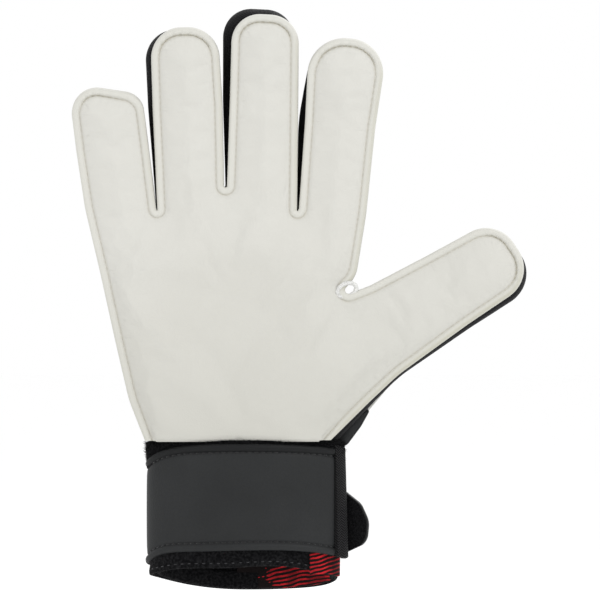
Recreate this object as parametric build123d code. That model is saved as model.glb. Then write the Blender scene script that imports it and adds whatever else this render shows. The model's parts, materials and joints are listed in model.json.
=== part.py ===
from build123d import *
import os
from dataclasses import dataclass
from math import cos, radians, sin, tan

# Right-hand goalkeeper glove with a full-wrap wrist strap, in millimetres.
# It stands fingers up along +Z, the palm faces -Y and the thumb points to +X.
# The origin is the centre of the wrist opening, level with the lowest edge of the cuff.
# "Depth" below is measured from the glove's mid-plane towards the palm, so depth = -Y.

# ---- layers, front to back ----
PALM_FACE = 16.0        # depth of the outer palm face
BACK_FACE = -16.0       # depth of the outer back face
LATEX = 5.5             # palm latex with its foam backing
BACK_FOAM = 3.5         # foam of the back panels
GUSSET = 1.6            # wall of the side gussets
LINING = 0.8            # palm and back lining
SEAM = 3.5              # outward seam allowance of the palm latex
LATEX_INNER = PALM_FACE - LATEX
BACK_INNER = BACK_FACE + BACK_FOAM

# ---- digits ----
ROOT_GAP = 1.2          # gap between two finger roots
HINGE_GAP = 0.3         # half the gap between two segments of a digit, laid flat
HINGE_DEPTH = LATEX_INNER   # a digit folds about the inner face of its latex
BEND_MARGIN = 3.0       # spare angle in the fold of the latex, degrees
TIP_ROUND = 0.9         # tip corner radius as a share of the digit's half width
STUB = 14.0             # how far a digit's own outline runs down into the palm


@dataclass
class Digit:
    name: str
    x: float            # root centre, across the hand
    z: float            # root centre, up the hand
    lean: float         # degrees from upright, towards the thumb
    length: float       # root to tip
    left: tuple         # latex half width on the little-finger side, at root and tip
    right: tuple        # the same on the thumb side
    show: tuple         # how far the gusset stands out beyond the latex at the tip, left and right
    bends: tuple        # root to first hinge, root to second hinge
    curl: tuple         # rest curl of the two hinges, degrees
    flex: tuple         # furthest flex from rest of the two hinges, degrees

    def along(self):
        return Vector(sin(radians(self.lean)), 0, cos(radians(self.lean)))

    def across(self):
        return Vector(cos(radians(self.lean)), 0, -sin(radians(self.lean)))

    def plane(self, depth=0.0):
        """Local x runs across the digit, local y along it, and the normal faces the palm side."""
        return Plane(origin=(self.x, -depth, self.z), x_dir=self.across(), z_dir=(0, -1, 0))

    def point(self, across, along):
        """A place on the digit, laid flat, as (x, z)."""
        p = Vector(self.x, 0, self.z) + self.across() * across + self.along() * along
        return (p.X, p.Z)

    def hinge(self, which):
        """The fold axis of hinge 0 or 1 with the digit laid flat."""
        origin = Vector(self.x, -HINGE_DEPTH, self.z) + self.along() * self.bends[which]
        return Axis(origin=origin, direction=self.across())

    def middle_hinge_at_rest(self):
        """The second fold axis, carried forward by the first fold's rest curl."""
        turn = radians(self.curl[0])
        reach = self.bends[1] - self.bends[0]
        step = self.along() * (reach * cos(turn)) + Vector(0, -1, 0) * (reach * sin(turn))
        return Axis(origin=self.hinge(0).position + step, direction=self.across())


LITTLE_HALF = 16.3      # half widths of the latex at the roots
RING_LEFT_HALF = 15.3
RING_RIGHT_HALF = 15.9
MIDDLE_HALF = 16.3
INDEX_LEFT_HALF = 15.2
INDEX_RIGHT_HALF = 15.6
MIDDLE_X = 7.9
RING_X = MIDDLE_X - MIDDLE_HALF - ROOT_GAP - RING_RIGHT_HALF
LITTLE_X = RING_X - RING_LEFT_HALF - LITTLE_HALF
INDEX_X = MIDDLE_X + MIDDLE_HALF + ROOT_GAP / 2 + INDEX_LEFT_HALF
HAND_BOTTOM = 71.0      # lower edge of palm and back panels
PALM_TALL = 114.8       # from there to the crotch between ring and middle finger
CROTCH_DROP = 10.8      # how much lower the crotches beside the little and index fingers are
TALL_ROOT_Z = HAND_BOTTOM + PALM_TALL
LOW_ROOT_Z = TALL_ROOT_Z - CROTCH_DROP


def up_palm(share):
    """Height of a place on the palm, given as a share of the palm's height."""
    return HAND_BOTTOM + share * PALM_TALL


INDEX_EDGE_X = INDEX_X + INDEX_RIGHT_HALF
THUMB_ROOT = (INDEX_EDGE_X + 3.8, up_palm(0.426))

LITTLE = Digit("little", LITTLE_X, LOW_ROOT_Z, -7.1, 59.3,
               (LITTLE_HALF, 17.0), (LITTLE_HALF, 17.0), (0.5, -SEAM), (11, 34), (5, 8), (60, 65))
RING = Digit("ring", RING_X, TALL_ROOT_Z, -1.6, 74.8,
             (RING_LEFT_HALF, 16.0), (RING_RIGHT_HALF, 15.4), (3.0, -SEAM), (12, 42), (5, 8), (60, 65))
MIDDLE = Digit("middle", MIDDLE_X, TALL_ROOT_Z, 1.3, 79.8,
               (MIDDLE_HALF, 15.3), (MIDDLE_HALF, 15.3), (4.4, -SEAM), (12, 44), (5, 8), (60, 65))
INDEX = Digit("index", INDEX_X, LOW_ROOT_Z, 5.5, 80.9,
              (INDEX_LEFT_HALF, 17.5), (INDEX_RIGHT_HALF, 18.4), (0.3, -SEAM), (14, 45), (5, 8), (60, 65))
THUMB = Digit("thumb", *THUMB_ROOT, 61.0, 79.5,
              (20.4, 17.4), (23.0, 15.0), (-SEAM, 1.5), (12, 42), (4, 6), (50, 60))
DIGITS = (LITTLE, RING, MIDDLE, INDEX, THUMB)

# ---- palm, from the wrist round by the little finger to the thumb ----
CUFF_HALF = 42.8        # half width of the wrist bandage, outside
WRIST_LEFT = -CUFF_HALF - 3.5
WRIST_RIGHT = CUFF_HALF - 0.8
LITTLE_EDGE = LITTLE.point(-LITTLE_HALF, 0)
PALM_SWELL = [(0.15, 3.3), (0.39, 3.0), (0.63, 2.4)]    # share of the palm's height, swell of the side
WEB_BEND = (INDEX_EDGE_X - 4.0, up_palm(0.688))
THUMB_CROTCH = (INDEX_EDGE_X - 6.5, up_palm(0.601))
HEEL_BEND = (WRIST_RIGHT + 11.0, up_palm(0.11))

# ---- back of the hand ----
KNUCKLE_PAD = 1.4       # thickness of the raised pad on the back
PAD_INSET = 9.0         # pad edge to panel edge
PAD_BOTTOM = 96.0

# ---- cuff: bandage, fastener patches and strap, as shells of one flat oval ----
CUFF_DEPTH = PALM_FACE + 1.5    # half depth of the bandage, outside
BANDAGE = 1.6
FACING = 0.8            # tape that covers the bandage's raw edge, inside
FACING_TALL = 8.0
LAYER_GAP = 0.3         # clearance between layers that are not sewn together
SEWN_GAP = 0.1          # clearance between layers that are sewn together
PATCH = 1.0             # loop patch on the bandage, and hook patch under the strap
STRAP = 2.2
STRAP_TALL = 49.0
STRAP_BELOW_HAND = 6.5  # strap to hand panels, at the sides of the wrist
STRAP_MID_Z = HAND_BOTTOM - STRAP_BELOW_HAND - STRAP_TALL / 2
STRAP_TILT = 11.0       # the strap sits higher in front than behind, degrees
BINDING = 0.6           # bound edge, proud of the strap
BINDING_TALL = 3.8
BANDAGE_FRONT_Z = STRAP_MID_Z - STRAP_TALL / 2 - 3.5    # lower edge of the bandage under the palm
BANDAGE_BACK_Z = 0.0    # lower edge of the bandage behind the wrist
STRAP_START = -24.0     # strap's sewn end, degrees from the thumb side, minus towards the palm
TAPE_END = 2.0          # woven side tape runs round from the strap's sewn end to here
TAPE = 2.8
PATCH_SPAN = (52, 128)  # loop patch behind the wrist, degrees
HOOK_SPAN = (56, 110)
FLAP_END = 35.0         # where the strap's free end starts, degrees
STRAP_SPLIT = 0.3       # half the slit between strap pieces that fold on each other
BINDING_SETBACK = 4.0   # degrees that the binding stays clear of a fold
FLAP_OPEN = 140.0
END_OPEN = 60.0
END_REACH = 26.0        # free end, fold to tip
END_HOOK_INSET = 2.0    # its hook tape stays this far inside its edge
END_SHOULDER = 22.8     # where its tapered sides turn into the rounded tip
END_LOW_Z = STRAP_MID_Z - STRAP_TALL / 2 - 2.5
END_ROOT_Z = (END_LOW_Z, END_LOW_Z + 40.0)
END_SHOULDER_Z = (END_LOW_Z + 7.0, END_LOW_Z + 25.8)
END_TIP_Z = (END_LOW_Z + 10.5, END_LOW_Z + 21.5)
PANEL_TAB = 1.5         # thickness of the small side panel below the thumb
LEAF = 4.6              # how far that panel reaches past the palm's corner

OVER = 60.0             # reach of cutting tools beyond the glove


def front_plane(depth=0.0):
    """Local x is the glove's X, local y its Z, and the normal faces the palm side."""
    return Plane(origin=(0, -depth, 0), x_dir=(1, 0, 0), z_dir=(0, -1, 0))


def polygon(points):
    return make_face(Polyline(*points, close=True))


def slab(plane_at, face, back, front):
    """A flat layer between two depths."""
    return extrude(plane_at(back) * face, amount=front - back)


def keep(solids):
    return Compound(children=list(solids))


# ---- digits ----

def digit_face(digit, left, right, top, start=-STUB):
    """A digit's outline from start to its rounded tip; left and right are (root, tip) half widths."""
    def width(sides, along):
        return sides[0] + (sides[1] - sides[0]) * along / digit.length
    outline = polygon([(-width(left, start), start), (-width(left, top), top),
                       (width(right, top), top), (width(right, start), start)])
    radius = TIP_ROUND * (width(left, top) + width(right, top)) / 2
    return fillet(outline.vertices().sort_by(Axis.Y)[-2:], radius)


def latex_face(digit):
    return digit_face(digit, digit.left, digit.right, digit.length)


def body_sides(digit, shrink=0.0):
    """Half widths of the gusset's outer face: inside the seam at the root, at its show at the tip."""
    left = (digit.left[0] - SEAM - shrink, digit.left[1] + digit.show[0] - shrink)
    right = (digit.right[0] - SEAM - shrink, digit.right[1] + digit.show[1] - shrink)
    return left, right


def body_face(digit, shrink=0.0, start=-STUB):
    left, right = body_sides(digit, shrink)
    return digit_face(digit, left, right, digit.length - SEAM - shrink, start)


def fold_cutter(digit, which):
    """The room a fold needs: a thin slit behind the fold axis, and a wedge through the latex."""
    at = digit.bends[which]
    half = radians((digit.curl[which] + digit.flex[which] + BEND_MARGIN) / 2)
    flare = HINGE_GAP + (OVER - HINGE_DEPTH) * tan(half)
    section = polygon([(at - HINGE_GAP, -OVER), (at + HINGE_GAP, -OVER), (at + HINGE_GAP, HINGE_DEPTH),
                       (at + flare, OVER), (at - flare, OVER), (at - HINGE_GAP, HINGE_DEPTH)])
    reach = 2 * max(digit.left[0], digit.right[0])
    cutter = extrude(Plane.YZ * section, amount=reach, both=True)
    return digit.plane().location * cutter


def segments(digit, solid):
    """Splits a digit's layer at its two folds into (stub, base, tip) lists of solids, still laid flat."""
    cut = solid - fold_cutter(digit, 0) - fold_cutter(digit, 1)
    groups = ([], [], [])
    for piece in cut.solids():
        reach = (piece.center() - Vector(digit.x, 0, digit.z)).dot(digit.along())
        groups[(reach > digit.bends[0]) + (reach > digit.bends[1])].append(piece)
    return groups


def at_rest(digit, part, tip):
    """Curls a flat base or tip segment into the digit's rest shape."""
    if tip:
        part = part.rotate(digit.hinge(1), digit.curl[1])
    return part.rotate(digit.hinge(0), digit.curl[0])


def digit_layers(digit):
    latex = slab(digit.plane, latex_face(digit), LATEX_INNER, PALM_FACE)
    wall = body_face(digit) - body_face(digit, GUSSET, -2 * STUB)
    gusset = slab(digit.plane, wall, BACK_INNER, LATEX_INNER)
    back = slab(digit.plane, body_face(digit), BACK_FACE, BACK_INNER)
    return {"latex": latex, "gusset": gusset, "back": back}


# ---- hand ----

def palm_face():
    """The palm's outline; fingers and thumb are added to it by their own outlines."""
    roof = RING.point(RING.right[0] + ROOT_GAP / 2, 0)
    side = [(WRIST_LEFT + (LITTLE_EDGE[0] - WRIST_LEFT) * share - swell, up_palm(share))
            for share, swell in PALM_SWELL]
    return polygon([(WRIST_LEFT, HAND_BOTTOM), *side, LITTLE_EDGE,
                    LITTLE.point(LITTLE.right[0], 0), roof, INDEX.point(-INDEX.left[0], 0),
                    INDEX.point(INDEX.right[0], 0), WEB_BEND, THUMB_CROTCH,
                    THUMB.point(THUMB.right[0], 0), HEEL_BEND, (WRIST_RIGHT, HAND_BOTTOM)])


def hand_body_face(shrink=0.0):
    """Outline inside the seam: the palm set in by the seam, with each digit's own body outline."""
    below = Pos(0, HAND_BOTTOM - OVER / 2) * Rectangle(4 * OVER, OVER + 2 * shrink)
    outline = offset(palm_face(), amount=-SEAM - shrink, kind=Kind.INTERSECTION) - below
    for digit in DIGITS:
        left, right = body_sides(digit, shrink)
        top = (digit.bends[0] + digit.bends[1]) / 2
        stub = digit_face(digit, left, right, top + OVER / 4)
        outline += front_plane().location.inverse() * (digit.plane().location * stub)
    return outline


def hand_stub(digit, layer):
    return segments(digit, digit_layers(digit)[layer])[0]


def hand_plate(layer, back, front):
    plate = slab(front_plane, palm_face(), back, front)
    for digit in DIGITS:
        for piece in hand_stub(digit, layer):
            plate += piece
    return plate


def side_walls():
    """The wall between palm and back, which the folds and the wrist cut into six strips."""
    outer = slab(front_plane, hand_body_face(), BACK_INNER, LATEX_INNER)
    inner = slab(front_plane, hand_body_face(GUSSET), BACK_INNER - 1, LATEX_INNER + 1)
    wrist = Pos(0, 0, HAND_BOTTOM) * Box(4 * OVER, 4 * OVER, 2 * (SEAM + GUSSET))
    walls = outer - inner - wrist
    for digit in DIGITS:
        walls -= beyond_fold(digit)
    return sorted(walls.solids(), key=lambda s: s.center().X)


def beyond_fold(digit):
    """Everything past a digit's first fold, as wide as the digit."""
    start = digit.bends[0] - HINGE_GAP
    wide = max(digit.left[0], digit.right[0]) * 2 + ROOT_GAP
    block = Pos(0, start + OVER, 0) * Box(wide, 2 * OVER, 2 * OVER)
    return digit.plane().location * block


# ---- cuff ----

def oval(half, depth):
    return extrude(Pos(0, 0, -OVER) * Ellipse(half, depth), amount=4 * OVER)


def shell(half, depth, thick, thick_depth=None):
    """A closed oval wall whose inside is half by depth."""
    return oval(half + thick, depth + (thick if thick_depth is None else thick_depth)) - oval(half, depth)


def sector(start, end, half, depth):
    """The wedge between two of an oval's own angles, in degrees from the thumb side."""
    reach = 4 * OVER / depth
    steps = int(abs(end - start) / 30) + 2
    turns = [radians(start + (end - start) * i / steps) for i in range(steps + 1)]
    rim = [(reach * half * cos(turn), reach * depth * sin(turn)) for turn in turns]
    return extrude(Pos(0, 0, -OVER) * polygon([(0, 0), *rim]), amount=4 * OVER)


def tilted_band(mid, tall):
    """A level slice of the cuff, tilted as the strap is."""
    return Pos(0, 0, mid) * Rot(X=-STRAP_TILT) * Box(4 * OVER, 4 * OVER, tall)


def bandage_trim(solid, low=0.0):
    """Cuts a solid level at the hand, and along the slanting lower edge of the cuff or above it."""
    profile = polygon([(-CUFF_DEPTH, BANDAGE_FRONT_Z + low), (CUFF_DEPTH, BANDAGE_BACK_Z + low),
                       (CUFF_DEPTH, HAND_BOTTOM), (-CUFF_DEPTH, HAND_BOTTOM)])
    return solid & extrude(Plane.YZ * profile, amount=2 * CUFF_HALF, both=True)


def wrist_bandage():
    return bandage_trim(shell(CUFF_HALF - BANDAGE, CUFF_DEPTH - BANDAGE, BANDAGE))


def bandage_facing():
    tube = shell(CUFF_HALF - BANDAGE - SEWN_GAP - FACING, CUFF_DEPTH - BANDAGE - SEWN_GAP - FACING, FACING)
    return bandage_trim(tube) - bandage_trim(oval(CUFF_HALF, CUFF_DEPTH), FACING_TALL)


STRAP_HALF = CUFF_HALF + LAYER_GAP                                  # strap, inside, half width
FRONT_DEPTH = CUFF_DEPTH + LAYER_GAP                                # in front, sewn down
HOOK_DEPTH = CUFF_DEPTH + SEWN_GAP + PATCH + LAYER_GAP              # hook patch, inside
FLAP_DEPTH = HOOK_DEPTH + PATCH + SEWN_GAP                          # behind, over both patches
STRAP_BAND = (STRAP_MID_Z, STRAP_TALL)


def loop_patch():
    depth = CUFF_DEPTH + SEWN_GAP
    wall = shell(CUFF_HALF + SEWN_GAP, depth, SEWN_GAP, PATCH)
    span = sector(*PATCH_SPAN, CUFF_HALF, depth)
    return wall & span & tilted_band(STRAP_MID_Z, STRAP_TALL - 2 * BINDING_TALL)


def hook_patch():
    wall = shell(STRAP_HALF - 2 * SEWN_GAP, HOOK_DEPTH, SEWN_GAP, PATCH)
    span = sector(*HOOK_SPAN, STRAP_HALF, HOOK_DEPTH)
    return wall & span & tilted_band(STRAP_MID_Z, STRAP_TALL - 3 * BINDING_TALL)


def strap_wall(depth, start, end, band, thick=STRAP, proud=0.0):
    wall = shell(STRAP_HALF + proud, depth + proud, thick)
    return wall & sector(start, end, STRAP_HALF, depth) & tilted_band(*band)


def strap_edges(depth, start, end):
    """The two bound edges on the outside of one stretch of the strap."""
    edge = STRAP_TALL / 2 - BINDING_TALL / 2
    bands = [(STRAP_MID_Z + side * edge, BINDING_TALL) for side in (1, -1)]
    return keep([strap_wall(depth, start, end, band, BINDING, STRAP) for band in bands])


def slit():
    """The slit at the little-finger side, where the strap's flap folds open."""
    return Pos(-STRAP_HALF, 0, STRAP_MID_Z) * Box(4 * STRAP, 2 * STRAP_SPLIT, 4 * OVER)


def flap_axis():
    """Upright axis on the outer face of the strap, at the little-finger side."""
    return Axis(origin=(-STRAP_HALF - STRAP, 0, 0), direction=(0, 0, 1))


def flap_end_point():
    turn = radians(FLAP_END)
    return Vector(STRAP_HALF * cos(turn), FLAP_DEPTH * sin(turn), 0)


def flap_end_tangent():
    turn = radians(FLAP_END)
    return Vector(STRAP_HALF * sin(turn), -FLAP_DEPTH * cos(turn), 0).normalized()


def end_plane(outwards=0.0):
    """Local x runs along the strap's free end, local y up, and the normal faces the wrist."""
    tangent = flap_end_tangent()
    inwards = tangent.cross(Vector(0, 0, 1))
    origin = flap_end_point() - inwards * outwards
    return Plane(origin=(origin.X, origin.Y, 0), x_dir=tangent, z_dir=inwards)


def end_axis():
    """Upright axis on the outer face of the strap, where the free end folds back."""
    origin = end_plane(STRAP).origin
    return Axis(origin=(origin.X, origin.Y, 0), direction=(0, 0, 1))


def beyond_flap():
    """Everything past the fold between the flap and the strap's free end, slit included."""
    return end_plane().location * Pos(OVER - STRAP_SPLIT, 0, 0) * Box(2 * OVER, 8 * OVER, 2 * OVER)


def end_outline(inset=0.0):
    near = STRAP_SPLIT + inset
    low, high = END_ROOT_Z, END_SHOULDER_Z
    return polygon([(near, low[0] + inset), (near, low[1] - inset),
                    (END_SHOULDER - inset, high[1] - inset), (END_REACH - inset, END_TIP_Z[1] - inset / 2),
                    (END_REACH - inset, END_TIP_Z[0] + inset / 2), (END_SHOULDER - inset, high[0] + inset)])


def thumb_side_panel():
    """Leaf-shaped panel that is sewn to the back panel and shows beside the strap, under the thumb."""
    middle = ((WRIST_RIGHT + HEEL_BEND[0]) / 2, (HAND_BOTTOM + HEEL_BEND[1]) / 2)
    face = polygon([(WRIST_RIGHT, HAND_BOTTOM - LEAF / 2), (WRIST_RIGHT + LEAF / 2, HAND_BOTTOM - LEAF),
                    (middle[0] + LEAF, middle[1] - LEAF / 2), (HEEL_BEND[0] + LEAF, HEEL_BEND[1]),
                    (middle[0] - LEAF / 2, middle[1] + LEAF / 2)])
    return slab(front_plane, face - hand_body_face(-SEWN_GAP), BACK_INNER, BACK_INNER + PANEL_TAB)


def knuckle_pad():
    outline = offset(palm_face(), amount=-PAD_INSET, kind=Kind.INTERSECTION)
    outline -= Pos(0, PAD_BOTTOM - OVER) * Rectangle(4 * OVER, 2 * OVER)
    return slab(front_plane, outline, BACK_FACE - KNUCKLE_PAD, BACK_FACE)


def lining(back):
    face = hand_body_face(GUSSET + LINING)
    face -= Pos(0, HAND_BOTTOM - OVER) * Rectangle(4 * OVER, 2 * OVER)
    sheet = slab(front_plane, face, back, back + LINING)
    for digit in DIGITS:
        sheet -= beyond_fold(digit)
    return sheet


# ---- the glove ----

def hand_nodes():
    little_side, web_a, web_b, web_c, thumb_side, thumb_web = order_walls(side_walls())
    nodes = {
        "palm_latex": hand_plate("latex", LATEX_INNER, PALM_FACE),
        "palm_lining": lining(LATEX_INNER - SEWN_GAP - LINING),
        "back_panel": hand_plate("back", BACK_FACE, BACK_INNER),
        "back_lining": lining(BACK_INNER + SEWN_GAP),
        "knuckle_pad": knuckle_pad(),
        "little_side_gusset": little_side,
        "thumb_web_gusset": thumb_web,
        "thumb_side_gusset": thumb_side,
        "finger_web_gussets": keep([web_a, web_b, web_c]),
        "thumb_side_panel": thumb_side_panel(),
        "wrist_bandage": wrist_bandage(),
        "bandage_facing": bandage_facing(),
        "loop_patch": loop_patch(),
    }
    nodes["strap_front"] = strap_wall(FRONT_DEPTH, -180, STRAP_START, STRAP_BAND) - slit()
    nodes["strap_front_binding"] = strap_edges(FRONT_DEPTH, BINDING_SETBACK - 180, STRAP_START)
    nodes["side_tape"] = strap_wall(FRONT_DEPTH, STRAP_START, TAPE_END, STRAP_BAND, TAPE)
    return nodes


def order_walls(walls):
    """Names the six strips by where they stand: the webs between fingers are the highest three."""
    assert len(walls) == 6, f"{len(walls)} side walls"
    webs = sorted(sorted(walls, key=lambda s: -s.bounding_box().min.Z)[:3], key=lambda s: s.center().X)
    rest = sorted([s for s in walls if s not in webs], key=lambda s: s.center().X)
    side = rest[0]
    thumb_side, thumb_web = sorted(rest[1:], key=lambda s: s.center().Z)
    return side, *webs, thumb_side, thumb_web


def digit_nodes(digit):
    nodes = {}
    for layer, solid in digit_layers(digit).items():
        _, base, tip = segments(digit, solid)
        nodes[f"{digit.name}_base_{layer}"] = keep([at_rest(digit, s, False) for s in base])
        nodes[f"{digit.name}_tip_{layer}"] = keep([at_rest(digit, s, True) for s in tip])
    return nodes


def strap_nodes():
    band = strap_wall(FLAP_DEPTH, FLAP_END - BINDING_SETBACK, 180, STRAP_BAND)
    return {
        "strap_flap": band - slit() - beyond_flap(),
        "strap_flap_binding": strap_edges(FLAP_DEPTH, FLAP_END + BINDING_SETBACK, 180 - BINDING_SETBACK),
        "flap_hook_patch": hook_patch(),
        "strap_end": slab_outwards(end_outline(), 0, STRAP),
        "strap_end_hook": slab_outwards(end_outline(END_HOOK_INSET), -PATCH - SEWN_GAP, -SEWN_GAP),
    }


def slab_outwards(face, near, far):
    """A flat layer of the strap's free end, between two distances outwards from the flap's inner face."""
    return extrude(end_plane(far) * face, amount=far - near)


def all_nodes():
    nodes = hand_nodes()
    for digit in DIGITS:
        nodes.update(digit_nodes(digit))
    nodes.update(strap_nodes())
    return nodes


def all_hinges():
    """Every hinge axis of the glove at rest; positive turns flex a digit or open the strap."""
    hinges = {"strap_opening": flap_axis(), "strap_end_fold": end_axis()}
    for digit in DIGITS:
        hinges[f"{digit.name}_knuckle"] = digit.hinge(0)
        hinges[f"{digit.name}_middle_joint"] = digit.middle_hinge_at_rest()
    return hinges


if __name__ == "__main__":
    os.makedirs("parts", exist_ok=True)
    for node, shape in all_nodes().items():
        export_step(shape, f"parts/{node}.step")
    for name, axis in all_hinges().items():
        print(name, axis.position, axis.direction)
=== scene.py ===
"""A right-hand goalkeeper glove: the visible pieces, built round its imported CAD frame."""
import json

import bpy
import numpy as np
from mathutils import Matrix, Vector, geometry


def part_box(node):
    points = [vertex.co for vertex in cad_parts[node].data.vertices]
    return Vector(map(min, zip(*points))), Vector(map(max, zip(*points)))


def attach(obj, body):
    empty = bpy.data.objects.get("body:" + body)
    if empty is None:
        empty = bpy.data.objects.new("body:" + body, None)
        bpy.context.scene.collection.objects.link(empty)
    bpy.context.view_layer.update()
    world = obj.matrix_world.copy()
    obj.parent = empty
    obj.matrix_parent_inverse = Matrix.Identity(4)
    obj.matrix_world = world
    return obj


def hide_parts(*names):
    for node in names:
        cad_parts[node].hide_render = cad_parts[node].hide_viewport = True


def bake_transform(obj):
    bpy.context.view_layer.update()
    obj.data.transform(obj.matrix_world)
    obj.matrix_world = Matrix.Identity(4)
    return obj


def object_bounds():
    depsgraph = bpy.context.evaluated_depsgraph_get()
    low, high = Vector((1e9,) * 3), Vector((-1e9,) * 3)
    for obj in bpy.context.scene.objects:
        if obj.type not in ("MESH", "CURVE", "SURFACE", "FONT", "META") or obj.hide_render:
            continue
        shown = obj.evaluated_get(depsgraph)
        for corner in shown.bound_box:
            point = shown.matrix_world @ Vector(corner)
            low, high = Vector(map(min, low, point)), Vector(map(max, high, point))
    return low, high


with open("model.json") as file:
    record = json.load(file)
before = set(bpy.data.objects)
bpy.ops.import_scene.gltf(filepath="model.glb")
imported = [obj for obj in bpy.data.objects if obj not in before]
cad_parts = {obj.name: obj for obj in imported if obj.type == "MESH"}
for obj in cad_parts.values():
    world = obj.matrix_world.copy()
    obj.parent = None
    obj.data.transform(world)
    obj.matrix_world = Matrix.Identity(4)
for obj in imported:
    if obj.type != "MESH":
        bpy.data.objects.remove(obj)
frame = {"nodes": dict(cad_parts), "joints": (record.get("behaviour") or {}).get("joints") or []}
cad_low, cad_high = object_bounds()

# ---------------------------------------------------------------------------------------------
# Studio: a wide pale floor under an even white surround, a large soft key light from the upper
# right, a fill from the left, and a long-lens camera that faces the palm squarely.
# ---------------------------------------------------------------------------------------------

MM = 0.001
VIEW_WIDTH = 276.0          # what the picture is wide at the palm, mm
VIEW_CENTRE = (25.3, 134.3)
PALM_FACE = -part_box("palm_latex")[0].y / MM
CAMERA_AWAY = 1500.0
SENSOR = 36.0
FLOOR_DROP = 0.11           # floor below the cuff, m
FLOOR_HALF = 9.0


def linked(name, data):
    """An object that shows the given mesh, lamp or camera, put in the scene."""
    made = bpy.data.objects.new(name, data)
    bpy.context.scene.collection.objects.link(made)
    return made


def pale_floor():
    """A square plane a little below the glove."""
    low = cad_low.z - FLOOR_DROP
    corners = [(x * FLOOR_HALF, y * FLOOR_HALF, low) for x, y in ((-1, -1), (1, -1), (1, 1), (-1, 1))]
    mesh = bpy.data.meshes.new("floor")
    mesh.from_pydata(corners, [], [(0, 1, 2, 3)])
    floor = linked("floor", mesh)
    paint = bpy.data.materials.new("floor_paint")
    paint.use_nodes = True
    shader = paint.node_tree.nodes["Principled BSDF"]
    shader.inputs["Base Color"].default_value = (1.0, 1.0, 1.0, 1)
    shader.inputs["Roughness"].default_value = 0.9
    mesh.materials.append(paint)


def soft_light(name, place, aim, side, watts):
    """A square area light at place, in metres, facing aim."""
    lamp = bpy.data.lights.new(name, "AREA")
    lamp.size = side
    lamp.energy = watts
    holder = linked(name, lamp)
    holder.location = place
    direction = Vector(aim) - Vector(place)
    holder.rotation_euler = direction.to_track_quat("-Z", "Y").to_euler()


def studio_world():
    """An even white surrounding."""
    world = bpy.data.worlds.new("studio")
    world.use_nodes = True
    world.node_tree.nodes["Background"].inputs["Color"].default_value = (1, 1, 1, 1)
    bpy.context.scene.world = world


def studio_camera():
    """The camera stands level with the middle of the glove, square to the palm."""
    lens = bpy.data.cameras.new("camera")
    lens.sensor_width = SENSOR
    lens.lens = SENSOR * CAMERA_AWAY / VIEW_WIDTH
    lens.clip_end = 50
    camera = linked("camera", lens)
    camera.location = (VIEW_CENTRE[0] * MM, -(PALM_FACE + CAMERA_AWAY) * MM, VIEW_CENTRE[1] * MM)
    camera.rotation_euler = (np.pi / 2, 0, 0)
    bpy.context.scene.camera = camera


pale_floor()
studio_world()
studio_camera()
soft_light("key", (0.75, -0.9, 1.0), (0.02, 0, 0.15), 0.5, 5.0)
soft_light("fill", (-0.9, -0.7, 0.5), (0.02, 0, 0.13), 0.8, 1.0)
soft_light("rear", (0.4, 1.1, 0.8), (0.02, 0, 0.13), 0.6, 5.0)
bpy.context.scene.view_settings.view_transform = "Standard"

# ---------------------------------------------------------------------------------------------
# Palm: one cut of foamed latex for the palm, the four fingers and the thumb, 5 to 7 mm thick.
# It is sewn to the gussets a seam allowance inside its edge, which leaves a soft rim outside a
# stitched groove. Each digit's share bends at its knuckle and at its middle joint.
# ---------------------------------------------------------------------------------------------

LATEX_INNER = -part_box("palm_latex")[1].y / MM      # depth of the latex's inner face, from the mid-plane
SEAM = 3.6                  # groove to edge
SEAM_ZONE = 6.2             # edge to where the smooth palm starts
PILLOW = 1.9                # how far the smooth palm swells above the seam zone
PILLOW_REACH = 5.5
HAIR_GAP = 0.1              # shift of the panels' inner faces towards the palm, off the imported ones


class Digit:
    """A digit's place from its joints, and its outline as half widths at root, middle and tip."""

    def __init__(self, name, root, length, left, right, corners, show_left, show_right, skew, body_longer):
        self.name, self.root_to_knuckle, self.length = name, root, length
        self.left, self.right, self.corners, self.skew = left, right, corners, skew
        self.body_longer = body_longer
        self.show_left, self.show_right = show_left, show_right
        joints = {joint["name"]: joint for joint in frame["joints"]}
        knuckle, middle = joints[f"{name}_knuckle"], joints[f"{name}_middle_joint"]
        self.axis = np.array(knuckle["axis"])
        self.along = np.array([-self.axis[2], 0, self.axis[0]])
        self.knuckle = np.array(knuckle["pos_m"]) / MM
        self.middle = np.array(middle["pos_m"]) / MM
        self.curl = [-np.radians(knuckle["range_deg"][0]), -np.radians(middle["range_deg"][0])]
        self.root = self.knuckle - self.along * root
        self.middle_reach = root + np.linalg.norm(self.middle - self.knuckle)
        self.split = (root + self.middle_reach) / 2

    def local(self, flat):
        """(across, along) of flat (x, z) places."""
        offset = flat - self.root[[0, 2]]
        return offset @ self.axis[[0, 2]], offset @ self.along[[0, 2]]

    def place(self, across, along):
        """Flat (x, z) of a place on the digit."""
        return self.root[[0, 2]] + across * self.axis[[0, 2]] + along * self.along[[0, 2]]


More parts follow.
